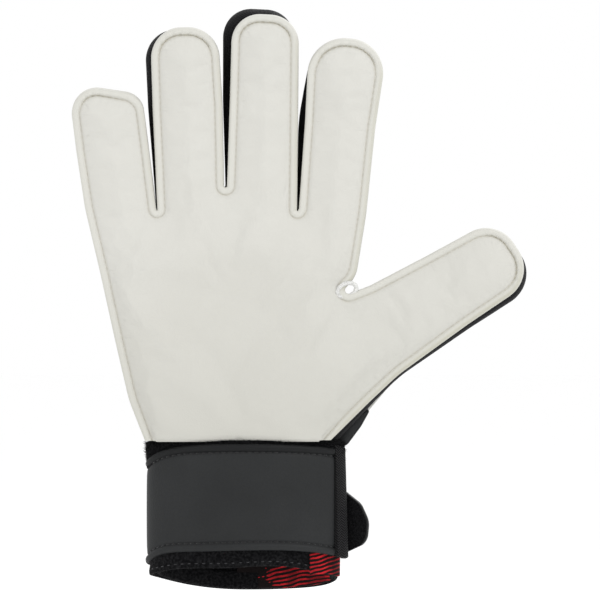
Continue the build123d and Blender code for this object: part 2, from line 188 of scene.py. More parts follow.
DIGITS = [
    Digit("little", 11, 62.4, (16.4, 17.0, 16.6), (16.2, 16.3, 16.4), (21.0, 10.0),
          (0.2, 0.2, 0.8), (-3.2, -3.2, -3.0), skew=9.4, body_longer=-3.0),
    Digit("ring", 12, 74.9, (15.2, 16.0, 15.7), (15.8, 16.2, 15.2), (14.0, 14.5),
          (1.0, 2.7, 3.4), (-3.2, -3.2, -3.0), skew=0.5, body_longer=-2.8),
    Digit("middle", 12, 80.9, (16.3, 15.8, 15.4), (16.3, 15.7, 15.2), (13.0, 13.5),
          (1.0, 3.6, 4.6), (-3.2, -3.2, -1.5), skew=0.8, body_longer=0.6),
    Digit("index", 14, 80.7, (15.3, 16.3, 18.1), (15.7, 16.2, 18.2), (17.5, 16.0),
          (1.0, 3.3, -1.9), (-3.0, -3.0, -2.2), skew=0.0, body_longer=-4.2),
    Digit("thumb", 12, 78.0, (20.2, 18.6, 18.4), (22.6, 18.2, 14.6), (15.0, 15.5),
          (-3.2, -3.2, -2.5), (1.5, 2.3, 3.2), skew=-3.0, body_longer=-1.4),
]
LITTLE, RING, MIDDLE, INDEX, THUMB = DIGITS
HAND_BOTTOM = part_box("palm_latex")[0].z / MM


def side_points(digit, widths, side, show):
    """Control rows of one side of a digit, from root to tip: place, corner radius, arc and edge samples."""
    shorter = (digit.skew if side > 0 else 0) - min(digit.skew, 0)
    tip_along = digit.length + show * digit.body_longer - shorter
    return [
        (digit.place(side * widths[1], digit.length * 0.5), 90.0, 12, 22),
        (digit.place(side * widths[2], tip_along), digit.corners[side > 0], 34, 22),
    ]


def outline_controls(show=0.0):
    """Corner places of the glove's outline, from the wrist's little-finger side to its thumb side.

    show is 0 for the latex and 1 for the gussets and the back, which stand out beyond it in places
    and stop short of it at the tips.
    """
    rows = [
        (np.array([-46.2, HAND_BOTTOM - 1.5]), 1.0, 4, 14),
        (np.array([-53.6, 88.3]), 60.0, 10, 20),
        (np.array([-60.0, 116.0]), 120.0, 10, 20),
        (np.array([-66.6, 146.0]), 120.0, 10, 20),
    ]
    for digit in DIGITS[:4]:
        left = [width + show * grow for width, grow in zip(digit.left, digit.show_left)]
        right = [width + show * grow for width, grow in zip(digit.right, digit.show_right)]
        if digit is LITTLE:
            rows.append((digit.place(-left[0], 4.0), 60.0, 12, 22))
        else:
            crotch = max(LITTLE.root[2], digit.root[2] if digit is MIDDLE else 0)
            drop = crotch - digit.root[2]
            rows.append((digit.place(-left[0], drop), 0.85 + show, 8, 26))
        rows += side_points(digit, left, -1, show)
        rows += side_points(digit, right, 1, show)[::-1]
        if digit is INDEX:
            rows.append((digit.place(right[0] + 0.2, 0.0), 90.0, 12, 20))
        else:
            crotch = RING.root[2] if digit is RING else LITTLE.root[2]
            rows.append((digit.place(right[0], crotch - digit.root[2]), 0.85 + show, 8, 3))
    thumb_left = [width + show * grow for width, grow in zip(THUMB.left, THUMB.show_left)]
    thumb_right = [width + show * grow for width, grow in zip(THUMB.right, THUMB.show_right)]
    web = show * 2.0
    rows += [
        (np.array([51.2 - web, 145.2]), 14.0, 10, 8),
        (np.array([42.0 - web, 134.9 - web * 0.6]), 2.2, 16, 10),
        (np.array([57.5, 140.9 - web * 1.2]), 20.0, 10, 14),
    ]
    rows += side_points(THUMB, thumb_left, -1, show)
    rows += side_points(THUMB, thumb_right, 1, show)[::-1]
    rows += [
        (THUMB.place(thumb_right[0] + 0.4, 0.0), 60.0, 12, 20),
        (np.array([57.6 + show * 1.6, 87.6 - show * 1.2]), 60.0, 12, 20),
        (np.array([39.6 + show * 4.0, HAND_BOTTOM - 1.2]), 1.0, 4, 1),
    ]
    return rows


def outline(rows):
    """Rounds each control corner with a cubic arc and joins the arcs by straight runs of even samples.

    Returns the path, its inward unit normals, and the length along it. Every outline with the same
    rows has the same number of samples, so two outlines pair up point by point.
    """
    places = np.array([row[0] for row in rows])
    path = [places[0]]
    last = places[0]
    for i in range(1, len(rows) - 1):
        corner, radius, arc, run = places[i], rows[i][1], rows[i][2], rows[i - 1][3]
        back, ahead = places[i - 1] - corner, places[i + 1] - corner
        back_long, ahead_long = np.linalg.norm(back), np.linalg.norm(ahead)
        back, ahead = back / back_long, ahead / ahead_long
        inside = np.arccos(np.clip(back @ ahead, -1, 1))
        reach = min(radius / max(np.tan(inside / 2), 1e-3), 0.49 * back_long, 0.49 * ahead_long)
        handle = 4 / 3 * np.tan((np.pi - inside) / 4) * reach * np.tan(inside / 2)
        first, final = corner + back * reach, corner + ahead * reach
        share = np.linspace(0, 1, run + 2)[1:, None]
        path += list(last + (first - last) * share)
        t = np.linspace(0, 1, arc + 1)[1:, None]
        one, two = first - back * handle, final - ahead * handle
        leaving = (1 - t) ** 3 * first + 3 * (1 - t) ** 2 * t * one
        path += list(leaving + 3 * (1 - t) * t ** 2 * two + t ** 3 * final)
        last = final
    share = np.linspace(0, 1, rows[-2][3] + 2)[1:, None]
    path += list(last + (places[-1] - last) * share)
    path = np.array(path)
    run = np.gradient(path, axis=0)
    run /= np.linalg.norm(run, axis=1, keepdims=True)
    normal = np.stack([run[:, 1], -run[:, 0]], 1)
    length = np.concatenate([[0], np.cumsum(np.linalg.norm(np.diff(path, axis=0), axis=1))])
    return path, normal, length


WRIST_BLEND = 12.0          # over this length the seam zone turns level with the wrist's edge


def glove_outline(show=0.0):
    """The outline with its two ends' normals turned level, so that the wrist's edge is straight."""
    path, inward, length = outline(outline_controls(show))
    for side, gone in ((1.0, length), (-1.0, length[-1] - length)):
        share = np.clip(1 - gone / WRIST_BLEND, 0, 1)[:, None]
        inward = inward * (1 - share) + np.array([side, 0]) * share
    return path, inward, length


STUB = 14.0                 # a digit's own strip of palm below its root


def digit_of(flat):
    """For flat (x, z) places: which digit each belongs to, -1 on the palm, and how far along it lies."""
    share = np.full(len(flat), 9.0)
    owner = np.full(len(flat), -1)
    reach = np.zeros(len(flat))
    for i, digit in enumerate(DIGITS):
        across, along = digit.local(flat)
        half = np.where(across < 0, max(digit.left[:2]), max(digit.right[:2]))
        nearer = (along > -STUB) & (np.abs(across) / half < share) & (np.abs(across) < half + 3)
        share = np.where(nearer, np.abs(across) / half, share)
        owner = np.where(nearer, np.where(along > 0, i, -1), owner)
        reach = np.where(nearer, np.maximum(along, 0), reach)
    return owner, reach


BEND_HALF = 10.0            # a digit bends over this much either side of a joint


def ease(value):
    """Smooth step: 0 below 0, 1 above 1, and 3t^2 - 2t^3 between."""
    t = np.clip(value, 0, 1)
    return t * t * (3 - 2 * t)


def turned(points, pivot, axis, angle):
    """Points turned about an axis through pivot by an angle each, by Rodrigues' formula."""
    offset = points - pivot
    cosine, sine = np.cos(angle)[:, None], np.sin(angle)[:, None]
    along = (offset @ axis)[:, None] * axis
    return pivot + offset * cosine + np.cross(axis, offset) * sine + along * (1 - cosine)


def at_rest(points, owner, reach):
    """Curls flat digits into their rest shape, a little at the middle joint and then at the knuckle."""
    points = points.copy()
    for i, digit in enumerate(DIGITS):
        mine = owner == i
        flat_middle = digit.knuckle + digit.along * (digit.middle_reach - digit.root_to_knuckle)
        for pivot, centre, curl in ((flat_middle, digit.middle_reach, digit.curl[1]),
                                    (digit.knuckle, digit.root_to_knuckle, digit.curl[0])):
            share = ease((reach[mine] - centre + BEND_HALF) / (2 * BEND_HALF))
            points[mine] = turned(points[mine], pivot, digit.axis, curl * share)
    return points


def upright(flat, deep):
    """Flat (x, z) places stood up at a depth y, one for all or one for each."""
    return np.stack([flat[:, 0], np.broadcast_to(deep, len(flat)), flat[:, 1]], 1)


def vertex_normals(points, faces):
    """Area-weighted vertex normals of a triangle and quad mesh, as an array."""
    normals = np.zeros_like(points)
    for size in (3, 4):
        chosen = np.array([face for face in faces if len(face) == size], int).reshape(-1, size)
        if len(chosen):
            a, b = points[chosen[:, 0]], points[chosen[:, 1]]
            c, d = points[chosen[:, 2]], points[chosen[:, -1]]
            across = np.cross(b - d, c - a) if size == 4 else np.cross(b - a, c - a)
            for k in range(size):
                np.add.at(normals, chosen[:, k], across)
    return normals / np.maximum(np.linalg.norm(normals, axis=1, keepdims=True), 1e-12)


def closed_sheet(name, front, back, faces, front_normals, paint, values=None, uv=None):
    """A sheet with thickness: a front, the same faces turned round on the back, and walls at open edges.

    front and back are matching points in mm. The front's normals are kept as given, so that the
    cut between two pieces of one sheet doesn't show.
    """
    used = np.unique(np.concatenate([np.asarray(face) for face in faces]))
    new = np.full(len(front), -1)
    new[used] = np.arange(len(used))
    count = len(used)
    top = [tuple(new[list(face)]) for face in faces]
    under = [tuple(v + count for v in face[::-1]) for face in top]
    edges = {}
    for face in top:
        for a, b in zip(face, face[1:] + face[:1]):
            edges[(a, b)] = edges.get((a, b), 0) + 1
    rim = [edge for edge in edges if (edge[1], edge[0]) not in edges]
    walls = [(b, a, a + count, b + count) for a, b in rim]
    points = np.concatenate([front[used], back[used]]) * MM
    mesh = bpy.data.meshes.new(name)
    mesh.from_pydata(points.tolist(), [], [list(map(int, face)) for face in top + under + walls])
    mesh.polygons.foreach_set("use_smooth", [True] * len(mesh.polygons))
    edge_of = {tuple(sorted(edge.vertices)): edge.index for edge in mesh.edges}
    sharp = np.zeros(len(mesh.edges), bool)
    for a, b in rim:
        sharp[edge_of[tuple(sorted((int(a), int(b))))]] = True
        sharp[edge_of[tuple(sorted((int(a) + count, int(b) + count)))]] = True
    mesh.attributes.new("sharp_edge", "BOOLEAN", "EDGE").data.foreach_set("value", sharp)
    for key, value in (values or {}).items():
        both = np.concatenate([value[used], value[used]]).astype(np.float32)
        mesh.attributes.new(key, "FLOAT", "POINT").data.foreach_set("value", both)
    if uv is not None:
        corners = np.zeros(len(mesh.loops), int)
        mesh.loops.foreach_get("vertex_index", corners)
        both = np.concatenate([uv[used], uv[used]])
        mesh.uv_layers.new(name="surface").data.foreach_set("uv", both[corners].astype(np.float32).ravel())
    corner_count = sum(len(face) for face in top)
    corners = np.zeros(len(mesh.loops), int)
    mesh.loops.foreach_get("vertex_index", corners)
    custom = np.zeros((len(mesh.loops), 3))
    custom[:corner_count] = front_normals[used][corners[:corner_count]]
    mesh.normals_split_custom_set(custom.tolist())
    mesh.materials.append(paint)
    return linked(name, mesh)


def share_out(owner, reach, faces):
    """Which part each face belongs to: 0 is the hand, 1 + 2 * digit a lower share, 2 + 2 * digit a tip."""
    part = np.zeros(len(faces), int)
    for k, face in enumerate(faces):
        face = list(face)
        near = reach[face].mean()
        who = owner[face]
        if (who >= 0).all() and near > 0.6:
            part[k] = 1 + 2 * who[0] + (near > DIGITS[who[0]].split)
    return part


def bend_with(made):
    """Bakes a digit share's placement into its mesh."""
    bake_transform(made)


def place_shares(stem, front, back, flat, faces, paint, cad_layer, values=None, uv=None):
    """Cuts a whole-glove sheet into the hand's share and two for each digit; hangs the hand's share on the
    hand body and bakes each digit share in place.
    """
    normals = vertex_normals(front, faces)
    part = share_out(*digit_of(flat), faces)
    made = []
    for number in np.unique(part):
        chosen = [faces[k] for k in np.flatnonzero(part == number)]
        digit = DIGITS[(number - 1) // 2] if number else None
        upper = bool(number) and (number - 1) % 2 == 1
        level = "tip" if upper else "base"
        name = f"{stem}_{digit.name}_{level}" if digit else f"{stem}_hand"
        piece = closed_sheet(name, front, back, chosen, normals, paint, values, uv)
        if digit:
            bend_with(piece)
            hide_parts(f"{digit.name}_{level}_{cad_layer}")
        else:
            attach(piece, "hand")
        made.append(piece)
    return made


# profile of the seam zone: inward from the edge, and depth below the palm face
EDGE_PROFILE = np.array([
    (0.0, -2.6), (0.04, -1.7), (0.2, -1.0), (0.6, -0.5), (1.2, -0.25), (2.0, -0.2), (2.7, -0.35),
    (3.15, -0.65), (3.4, -0.95), (SEAM, -1.1), (3.8, -0.95), (4.1, -0.6), (4.6, -0.2), (5.3, 0.15),
    (SEAM_ZONE, 0.5),
])


ROW_SHARE = 0.866           # height of an even triangle of side 1


def fill_inside(loop, spacing):
    """Even points inside a closed loop, joined to it by a Delaunay triangulation that keeps its edges."""
    low, high = loop.min(0), loop.max(0)
    across = np.arange(low[0], high[0], spacing)
    up = np.arange(low[1], high[1], spacing * ROW_SHARE)
    grid_x, grid_z = np.meshgrid(across, up)
    grid_x = grid_x + (np.arange(len(up)) % 2)[:, None] * spacing / 2
    seeds = np.stack([grid_x.ravel(), grid_z.ravel()], 1)
    ahead = np.roll(loop, -1, 0)
    inside = np.zeros(len(seeds), bool)
    near = np.full(len(seeds), 1e9)
    for part in np.array_split(np.arange(len(seeds)), 40):
        p = seeds[part][:, None]
        a, b = loop[None], ahead[None]
        crosses = (a[..., 1] > p[..., 1]) != (b[..., 1] > p[..., 1])
        rise = np.where(crosses, b[..., 1] - a[..., 1], 1)
        at = a[..., 0] + (p[..., 1] - a[..., 1]) / rise * (b[..., 0] - a[..., 0])
        inside[part] = (crosses & (p[..., 0] < at)).sum(1) % 2 == 1
        near[part] = np.sqrt(((p - a) ** 2).sum(2)).min(1)
    seeds = seeds[inside & (near > spacing * 0.6)]
    points = np.concatenate([loop, seeds])
    edges = [(i, (i + 1) % len(loop)) for i in range(len(loop))]
    result = geometry.delaunay_2d_cdt([tuple(p) for p in points], edges, [], 1, 1e-6)
    flat = np.array([tuple(v) for v in result[0]])
    source = np.array([origin[0] if origin else -1 for origin in result[3]])
    return flat, [tuple(face) for face in result[2]], source


def closed_outline(corners, arc=10, run=8):
    """A closed loop through rounded corners, each (x, z, radius); the first edge's middle starts it."""
    corners = [(np.array(corner[:2], float), corner[2]) for corner in corners]
    start = (corners[0][0] + corners[-1][0]) / 2
    rows = [(start, 1.0, arc, run)]
    rows += [(place, radius, arc, run) for place, radius in corners]
    rows.append((start, 1.0, arc, 1))
    path, inward, _ = outline(rows)
    return path[:-1], inward[:-1]


TIP_NARROWER = 0.14         # how much narrower the seam zone is round a digit's tip
TIP_GROOVE = 0.55           # and how much deeper its groove is, mm
PUCKER = 0.22               # height and pitch of the puckers there
PUCKER_PITCH = 4.2


def panel(path, inward, profile, height, sign, spacing=2.4, closed=False, tips=None):
    """A panel as flat places, depths and faces: a seam zone swept along its outline, and a filled middle.

    The seam zone is the profile, distance in and depth, carried along the outline; the middle's
    depth is height(distance from the edge, flat places). At tips, a share for each place along
    the outline, the zone narrows and its groove deepens and puckers. sign is 1 for a face towards
    the palm side and -1 for the back.
    """
    steps, places = len(profile), len(path)
    tips = np.zeros(places) if tips is None else tips
    run = np.concatenate([[0], np.cumsum(np.linalg.norm(np.diff(path, axis=0), axis=1))])
    into = profile[None, :, 0] * (1 - TIP_NARROWER * tips[:, None])
    flat = (path[:, None] + into[..., None] * inward[:, None]).reshape(-1, 2)
    pucker = PUCKER * np.sin(run * 2 * np.pi / PUCKER_PITCH)[:, None] * np.exp(-((into - 2.0) / 1.6) ** 2)
    dip = -TIP_GROOVE * np.exp(-((into - 3.1) / 0.75) ** 2)
    depth = (profile[None, :, 1] + tips[:, None] * (dip + pucker)).ravel()
    edge = np.tile(profile[:, 0], places)
    i, j = np.meshgrid(np.arange(places - (not closed)), np.arange(steps - 1), indexing="ij")
    here, ahead = i * steps + j, (i + 1) % places * steps + j
    quads = np.stack([here, here + 1, ahead + 1, ahead], -1).reshape(-1, 4)
    inner = np.arange(places) * steps + steps - 1
    middle, faces, source = fill_inside(flat[inner], spacing)
    index = np.where((source >= 0) & (source < places), inner[np.clip(source, 0, places - 1)], -1)
    extra = np.flatnonzero(index < 0)
    index[extra] = len(flat) + np.arange(len(extra))
    distance = np.full(len(extra), 1e9)
    for part in np.array_split(np.arange(len(extra)), 30):
        gap = middle[extra][part][:, None] - path[None]
        distance[part] = np.sqrt((gap ** 2).sum(2)).min(1)
    flat = np.concatenate([flat, middle[extra]])
    depth = np.concatenate([depth, height(distance, middle[extra])])
    edge = np.concatenate([edge, distance])
    runs = np.concatenate([np.repeat(run, steps), np.zeros(len(extra))])
    oriented = []
    for face in [tuple(quad) for quad in quads] + [tuple(int(index[v]) for v in face) for face in faces]:
        place = flat[list(face)]
        area = (place[:, 0] * np.roll(place[:, 1], -1) - np.roll(place[:, 0], -1) * place[:, 1]).sum()
        oriented.append(face if area * sign > 0 else face[::-1])
    return flat, depth, edge, runs, oriented


def palm_height(distance, flat):
    """Swells from the seam zone like a pillow: end of profile + PILLOW (1 - e^-distance).

    A shallow hollow is pressed into the middle of the palm, and the ball of the thumb is a low mound.
    """
    swell = PILLOW * (1 - np.exp(-(distance - SEAM_ZONE) / PILLOW_REACH))
    hollow = 1.2 * np.exp(-((flat[:, 0] + 8) / 30) ** 2 - ((flat[:, 1] - 128) / 34) ** 2)
    mound = 1.0 * np.exp(-((flat[:, 0] - 38) / 22) ** 2 - ((flat[:, 1] - 104) / 22) ** 2)
    return EDGE_PROFILE[-1, 1] + swell - hollow + mound


def new_paint(name, roughness, specular=0.3, sheen=0.0):
    """A material with its own shader values, and its nodes, links and shader to build on."""
    paint = bpy.data.materials.new(name)
    paint.use_nodes = True
    nodes, links = paint.node_tree.nodes, paint.node_tree.links
    shader = nodes["Principled BSDF"]
    shader.inputs["Roughness"].default_value = roughness
    shader.inputs["Specular IOR Level"].default_value = specular
    shader.inputs["Sheen Weight"].default_value = sheen
    shader.inputs["Sheen Roughness"].default_value = 0.5
    return paint, nodes, links, shader


def object_place(nodes):
    """Coordinates in the piece's own frame, m."""
    return nodes.new("ShaderNodeTexCoord").outputs["Object"]


def apart_of(nodes, links, place):
    """The X, Y and Z outputs of a place."""
    made = nodes.new("ShaderNodeSeparateXYZ")
    links.new(place, made.inputs[0])
    return made.outputs


def attribute(nodes, name):
    """A value that the mesh's points carry."""
    made = nodes.new("ShaderNodeAttribute")
    made.attribute_name = name
    return made.outputs["Fac"]


def cells(nodes, links, place, scale, random=1.0):
    """Distance to the nearest of scattered points, for pores, holes and pebbles."""
    made = nodes.new("ShaderNodeTexVoronoi")
    made.inputs["Scale"].default_value = scale
    made.inputs["Randomness"].default_value = random
    links.new(place, made.inputs["Vector"])
    return made.outputs["Distance"]


def noise(nodes, links, place, scale, detail=3.0):
    """A noise texture on the given coordinates."""
    made = nodes.new("ShaderNodeTexNoise")
    made.inputs["Scale"].default_value = scale
    made.inputs["Detail"].default_value = detail
    links.new(place, made.inputs["Vector"])
    return made.outputs["Fac"]


def shades(nodes, links, source, *stops):
    """A colour ramp through (position, colour) stops."""
    made = nodes.new("ShaderNodeValToRGB")
    ramp = made.color_ramp
    while len(ramp.elements) < len(stops):
        ramp.elements.new(0.5)
    for element, (position, colour) in zip(ramp.elements, stops):
        element.position = position
        element.color = (*colour, 1)
    links.new(source, made.inputs["Fac"])
    return made.outputs["Color"]


def maths(nodes, links, kind, first, second=0.0, third=None, clamp=False):
    """One math node; each input is a socket or a number."""
    made = nodes.new("ShaderNodeMath")
    made.operation = kind
    made.use_clamp = clamp
    for slot, value in enumerate((first, second, third)):
        if isinstance(value, (int, float)):
            made.inputs[slot].default_value = value
        elif value is not None:
            links.new(value, made.inputs[slot])
    return made.outputs[0]


def blended(nodes, links, share, first, second):
    """Mixes a colour socket or value with another by a share."""
    made = nodes.new("ShaderNodeMix")
    made.data_type = "RGBA"
    links.new(share, made.inputs["Factor"])
    for slot, value in (("A", first), ("B", second)):
        if isinstance(value, tuple):
            made.inputs[slot].default_value = (*value, 1)
        else:
            links.new(value, made.inputs[slot])
    return made.outputs["Result"]


def bumps(nodes, links, shader, *layers):
    """Stacks bump maps, each a (height socket, strength, distance in m), on the shader."""
    below = None
    for height, strength, distance in layers:
        made = nodes.new("ShaderNodeBump")
        made.inputs["Strength"].default_value = strength
        made.inputs["Distance"].default_value = distance
        links.new(height, made.inputs["Height"])
        if below:
            links.new(below, made.inputs["Normal"])
        below = made.outputs["Normal"]
    links.new(below, shader.inputs["Normal"])


PUFF_FRAMES = 20


def inflated(points, faces, held, pressure, slack, cap):
    """A foam panel puffed by a short cloth simulation: its seams are pinned and air pressure lifts the rest.

    slack is how much larger the cloth is cut than its frame, which is what puckers it, and no point
    moves further than cap mm.
    """
    mesh = bpy.data.meshes.new("puff")
    mesh.from_pydata((points * MM).tolist(), [], [list(map(int, face)) for face in faces])
    body = linked("puff", mesh)
    group = body.vertex_groups.new(name="held")
    for weight in np.unique(held):
        group.add(np.flatnonzero(held == weight).tolist(), float(weight), "REPLACE")
    cloth = body.modifiers.new("cloth", "CLOTH")
    rule = cloth.settings
    rule.quality, rule.mass = 5, 0.3
    rule.tension_stiffness = rule.compression_stiffness = 20
    rule.shear_stiffness, rule.bending_stiffness = 10, 2.0
    rule.vertex_group_mass, rule.pin_stiffness = "held", 1.0
    rule.shrink_min = rule.shrink_max = -slack
    rule.use_pressure, rule.uniform_pressure_force = True, pressure
    rule.effector_weights.gravity = 0
    cloth.collision_settings.use_collision = False
    scene = bpy.context.scene
    for frame_number in range(1, PUFF_FRAMES + 1):
        scene.frame_set(frame_number)
    settled = body.evaluated_get(bpy.context.evaluated_depsgraph_get()).to_mesh()
    moved = np.zeros(len(points) * 3)
    settled.vertices.foreach_get("co", moved)
    shift = moved.reshape(-1, 3) / MM - points
    scene.frame_set(1)
    bpy.data.objects.remove(body)
    far = np.linalg.norm(shift, axis=1, keepdims=True)
    return points + shift * np.minimum(1, cap / np.maximum(far, 1e-9))


RIM_TONE = (0.60, 0.595, 0.54)
# painted shade: a beige-grey for the latex's outer edge where it is turned away from the light
EDGE_SHADE_TONE = (0.44, 0.43, 0.345)
# a beige for the stitch line: partly the real stitching, partly painted shade in the groove's bottom
STITCH_AND_GROOVE_SHADE = (0.45, 0.42, 0.33)
DASHES = 2.1                # radians of the stitch line's wave for each mm of run


def latex_paint():
    """Off-white foamed latex: matt, finely pored, faintly mottled, with a beige stitch line in its groove
    that also paints the groove's shade.

    It has painted shade: it is darkened a little towards the wrist, and its outer edge is painted a
    beige-grey shade where the outline faces down and to the right, away from the light above, mostly under
    the thumb.
    """
    paint, nodes, links, shader = new_paint("foamed_latex", 0.75, 0.3, 0.1)
    place = object_place(nodes)
    tone = shades(nodes, links, noise(nodes, links, place, 10, 4),
                  (0.3, (0.570, 0.563, 0.522)), (0.7, (0.600, 0.594, 0.556)))
    # painted shade: the latex is multiplied darker towards the wrist, the glove's lower end, where it gets
    # less of the light from above
    height = apart_of(nodes, links, place)["Z"]
    wrist_shade = shades(nodes, links, height, (0.07, (0.88, 0.88, 0.865)), (0.16, (1, 1, 1)))
    toned = nodes.new("ShaderNodeMix")
    toned.data_type = "RGBA"
    toned.blend_type = "MULTIPLY"
    toned.inputs["Factor"].default_value = 1
    links.new(tone, toned.inputs["A"])
    links.new(wrist_shade, toned.inputs["B"])
    tone = toned.outputs["Result"]
    rim = maths(nodes, links, "MULTIPLY", attribute(nodes, "rim"), 0.35)
    tone = blended(nodes, links, rim, tone, RIM_TONE)
    # painted shade: the outer edge that is turned away from the light gets a beige-grey shade tone
    tone = blended(nodes, links, attribute(nodes, "edge_shade"), tone, EDGE_SHADE_TONE)
    # the dashed groove line is partly stitching and partly painted shade in the groove
    groove, run = attribute(nodes, "groove"), attribute(nodes, "run")
    wave = maths(nodes, links, "SINE", maths(nodes, links, "MULTIPLY", run, DASHES))
    dash = maths(nodes, links, "MULTIPLY_ADD", wave, 0.22, 0.62)
    share = maths(nodes, links, "MULTIPLY", groove, dash)
    links.new(blended(nodes, links, share, tone, STITCH_AND_GROOVE_SHADE), shader.inputs["Base Color"])
    bumps(nodes, links, shader, (noise(nodes, links, place, 1500), 0.22, 0.0004),
          (noise(nodes, links, place, 70, 4), 0.10, 0.002), (share, 0.6, 0.0005))
    return paint


LENGTHS = np.array([digit.length for digit in DIGITS])


def tips_of(path):
    """How near each place along the outline is to a digit's tip, 0 to 1."""
    owner, reach = digit_of(path)
    return ease((reach / LENGTHS[np.maximum(owner, 0)] - 0.84) / 0.1) * (owner >= 0)


AWAY_FROM_LIGHT = np.array([-0.45, 0.89])      # inward from an edge that faces down and right, away from the light above: a beige-grey shade is painted there
PUFF = {"pressure": 3.0, "slack": 0.02, "cap": 2.5}


def palm_side():
    """The palm panel in its 11 shares."""
    path, inward, _ = glove_outline()
    flat, depth, edge, run, faces = panel(path, inward, EDGE_PROFILE, palm_height, 1, tips=tips_of(path))
    owner, reach = digit_of(flat)
    groove = np.exp(-((edge - SEAM) / 0.42) ** 2)
    tip = ease((reach / LENGTHS[np.maximum(owner, 0)] - 0.8) / 0.12)
    front = upright(flat, -(PALM_FACE + depth))
    held = np.round(1 - ease((edge - 4.0) / 3.5), 2)
    front = inflated(front, faces, held, **PUFF)
    back = upright(flat, -LATEX_INNER - HAIR_GAP)
    front, back = at_rest(front, owner, reach), at_rest(back, owner, reach)
    # painted shade: the outermost mm of the edge is marked for the shade tone where the outline faces down
    # and right, away from the light; this falls mostly under the thumb
    under = np.zeros(len(flat))
    steps = len(EDGE_PROFILE)
    under[:len(path) * steps] = np.repeat(np.clip(inward @ AWAY_FROM_LIGHT, 0, 1), steps)
    # painted shade: the groove line is painted twice as strong near the digits' tips, where the groove is
    # deeper and in shade
    marks = {"groove": groove * (0.5 + 0.5 * tip * (owner >= 0)), "run": run, "rim": edge < SEAM,
             "edge_shade": 0.75 * under * np.exp(-((edge - 0.9) / 0.9) ** 2)}
    made = place_shares("palm", front, back, flat, faces, latex_paint(), "latex", marks)
    for piece in made:
        if piece.name == "palm_hand":
            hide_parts("palm_latex")


palm_side()

# ---------------------------------------------------------------------------------------------
# Gussets: strips of black warp-knit mesh, sewn to the latex a seam allowance inside its edge and
# to the back panels near theirs, so each digit is a tube. They show beyond the latex on the
# little-finger side of the fingers and below the thumb, and turn in again behind.
# ---------------------------------------------------------------------------------------------

BACK_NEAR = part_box("back_panel")[0].y / MM
BACK_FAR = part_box("back_panel")[1].y / MM
GUSSET_WALL = 1.3
# across a gusset from latex to back: share of the depth, share of the bulge, distance in
GUSSET_PROFILE = np.array([(0, 0, 3.3), (0.03, 0.05, 2.6), (0.09, 0.35, 1.7), (0.17, 0.7, 0.9),
                           (0.28, 0.92, 0.35), (0.42, 1, 0.05), (0.56, 1, 0.1), (0.72, 1, 0.8),
                           (0.88, 1, 1.8), (1, 1, 2.6)])


def knit_paint():
    """Black mesh knit: rows of small holes that follow the strip, with a soft sheen."""
    paint, nodes, links, shader = new_paint("mesh_knit", 0.8, 0.08, 0.03)
    place = nodes.new("ShaderNodeTexCoord").outputs["UV"]
    holes = cells(nodes, links, place, 780, 0.25)
    tone = shades(nodes, links, holes, (0.15, (0.002, 0.002, 0.002)), (0.5, (0.010, 0.010, 0.011)))
    links.new(tone, shader.inputs["Base Color"])
    bumps(nodes, links, shader, (holes, 0.7, 0.0005))
    return paint


def gusset_walls():
    """Carries the gusset profile between the latex outline and the wider body outline, and cuts it up."""
    edge, inward, length = glove_outline()
    body, _, _ = glove_outline(show=1.0)
    inside = edge + inward * 3.0
    owner, reach = digit_of(inside)
    steps, places = len(GUSSET_PROFILE), len(edge)
    depth = -LATEX_INNER + (LATEX_INNER + BACK_NEAR) * GUSSET_PROFILE[:, 0]
    flat = (edge[:, None] + GUSSET_PROFILE[None, :, 1:2] * (body - edge)[:, None]
            + GUSSET_PROFILE[None, :, 2:] * inward[:, None]).reshape(-1, 2)
    side = np.repeat(inward, steps, 0)
    front = upright(flat, np.tile(depth, places))
    back = front + upright(side, 0.0) * GUSSET_WALL
    owner, reach = np.repeat(owner, steps), np.repeat(reach, steps)
    front, back = at_rest(front, owner, reach), at_rest(back, owner, reach)
    i, j = np.meshgrid(np.arange(places - 1), np.arange(steps - 1), indexing="ij")
    a = (i * steps + j).ravel()
    faces = [tuple(quad) for quad in np.stack([a, a + 1, a + 1 + steps, a + steps], 1)]
    uv = np.stack([np.repeat(length, steps), np.tile(depth, places)], 1) * MM
    normals = vertex_normals(front, faces)
    part = share_out(owner, reach, faces).reshape(places - 1, steps - 1)[:, 0]
    paint = knit_paint()
    runs = np.cumsum(np.concatenate([[0], np.diff(part) != 0]))
    strips = iter(("little_side", "web_little_ring", "web_ring_middle", "web_middle_index", "thumb_web",
                   "thumb_side"))
    stands_for = {"little_side": "little_side_gusset", "web_little_ring": "finger_web_gussets",
                  "thumb_web": "thumb_web_gusset", "thumb_side": "thumb_side_gusset"}
    shares = {}
    for run in np.unique(runs):
        number = part[runs == run][0]
        key = next(strips) if number == 0 else number
        shares.setdefault(key, []).extend(np.flatnonzero(np.repeat(runs == run, steps - 1)))
    for key, members in shares.items():
        chosen = [faces[k] for k in members]
        if isinstance(key, str):
            piece = closed_sheet(f"gusset_{key}", front, back, chosen, normals, paint, uv=uv)
            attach(piece, "hand")
            if key in stands_for:
                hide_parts(stands_for[key])
        else:
            digit, upper = DIGITS[(key - 1) // 2], (key - 1) % 2 == 1
            level = "tip" if upper else "base"
            piece = closed_sheet(f"gusset_{digit.name}_{level}", front, back, chosen, normals, paint, uv=uv)
            bend_with(piece)
            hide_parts(f"{digit.name}_{level}_gusset")


gusset_walls()

# ---------------------------------------------------------------------------------------------
# Backhand: one panel of black foam under a grained synthetic skin for the hand and each digit,
# with heat-pressed channels across the joints. Red and charcoal stripes are printed over it.
# ---------------------------------------------------------------------------------------------

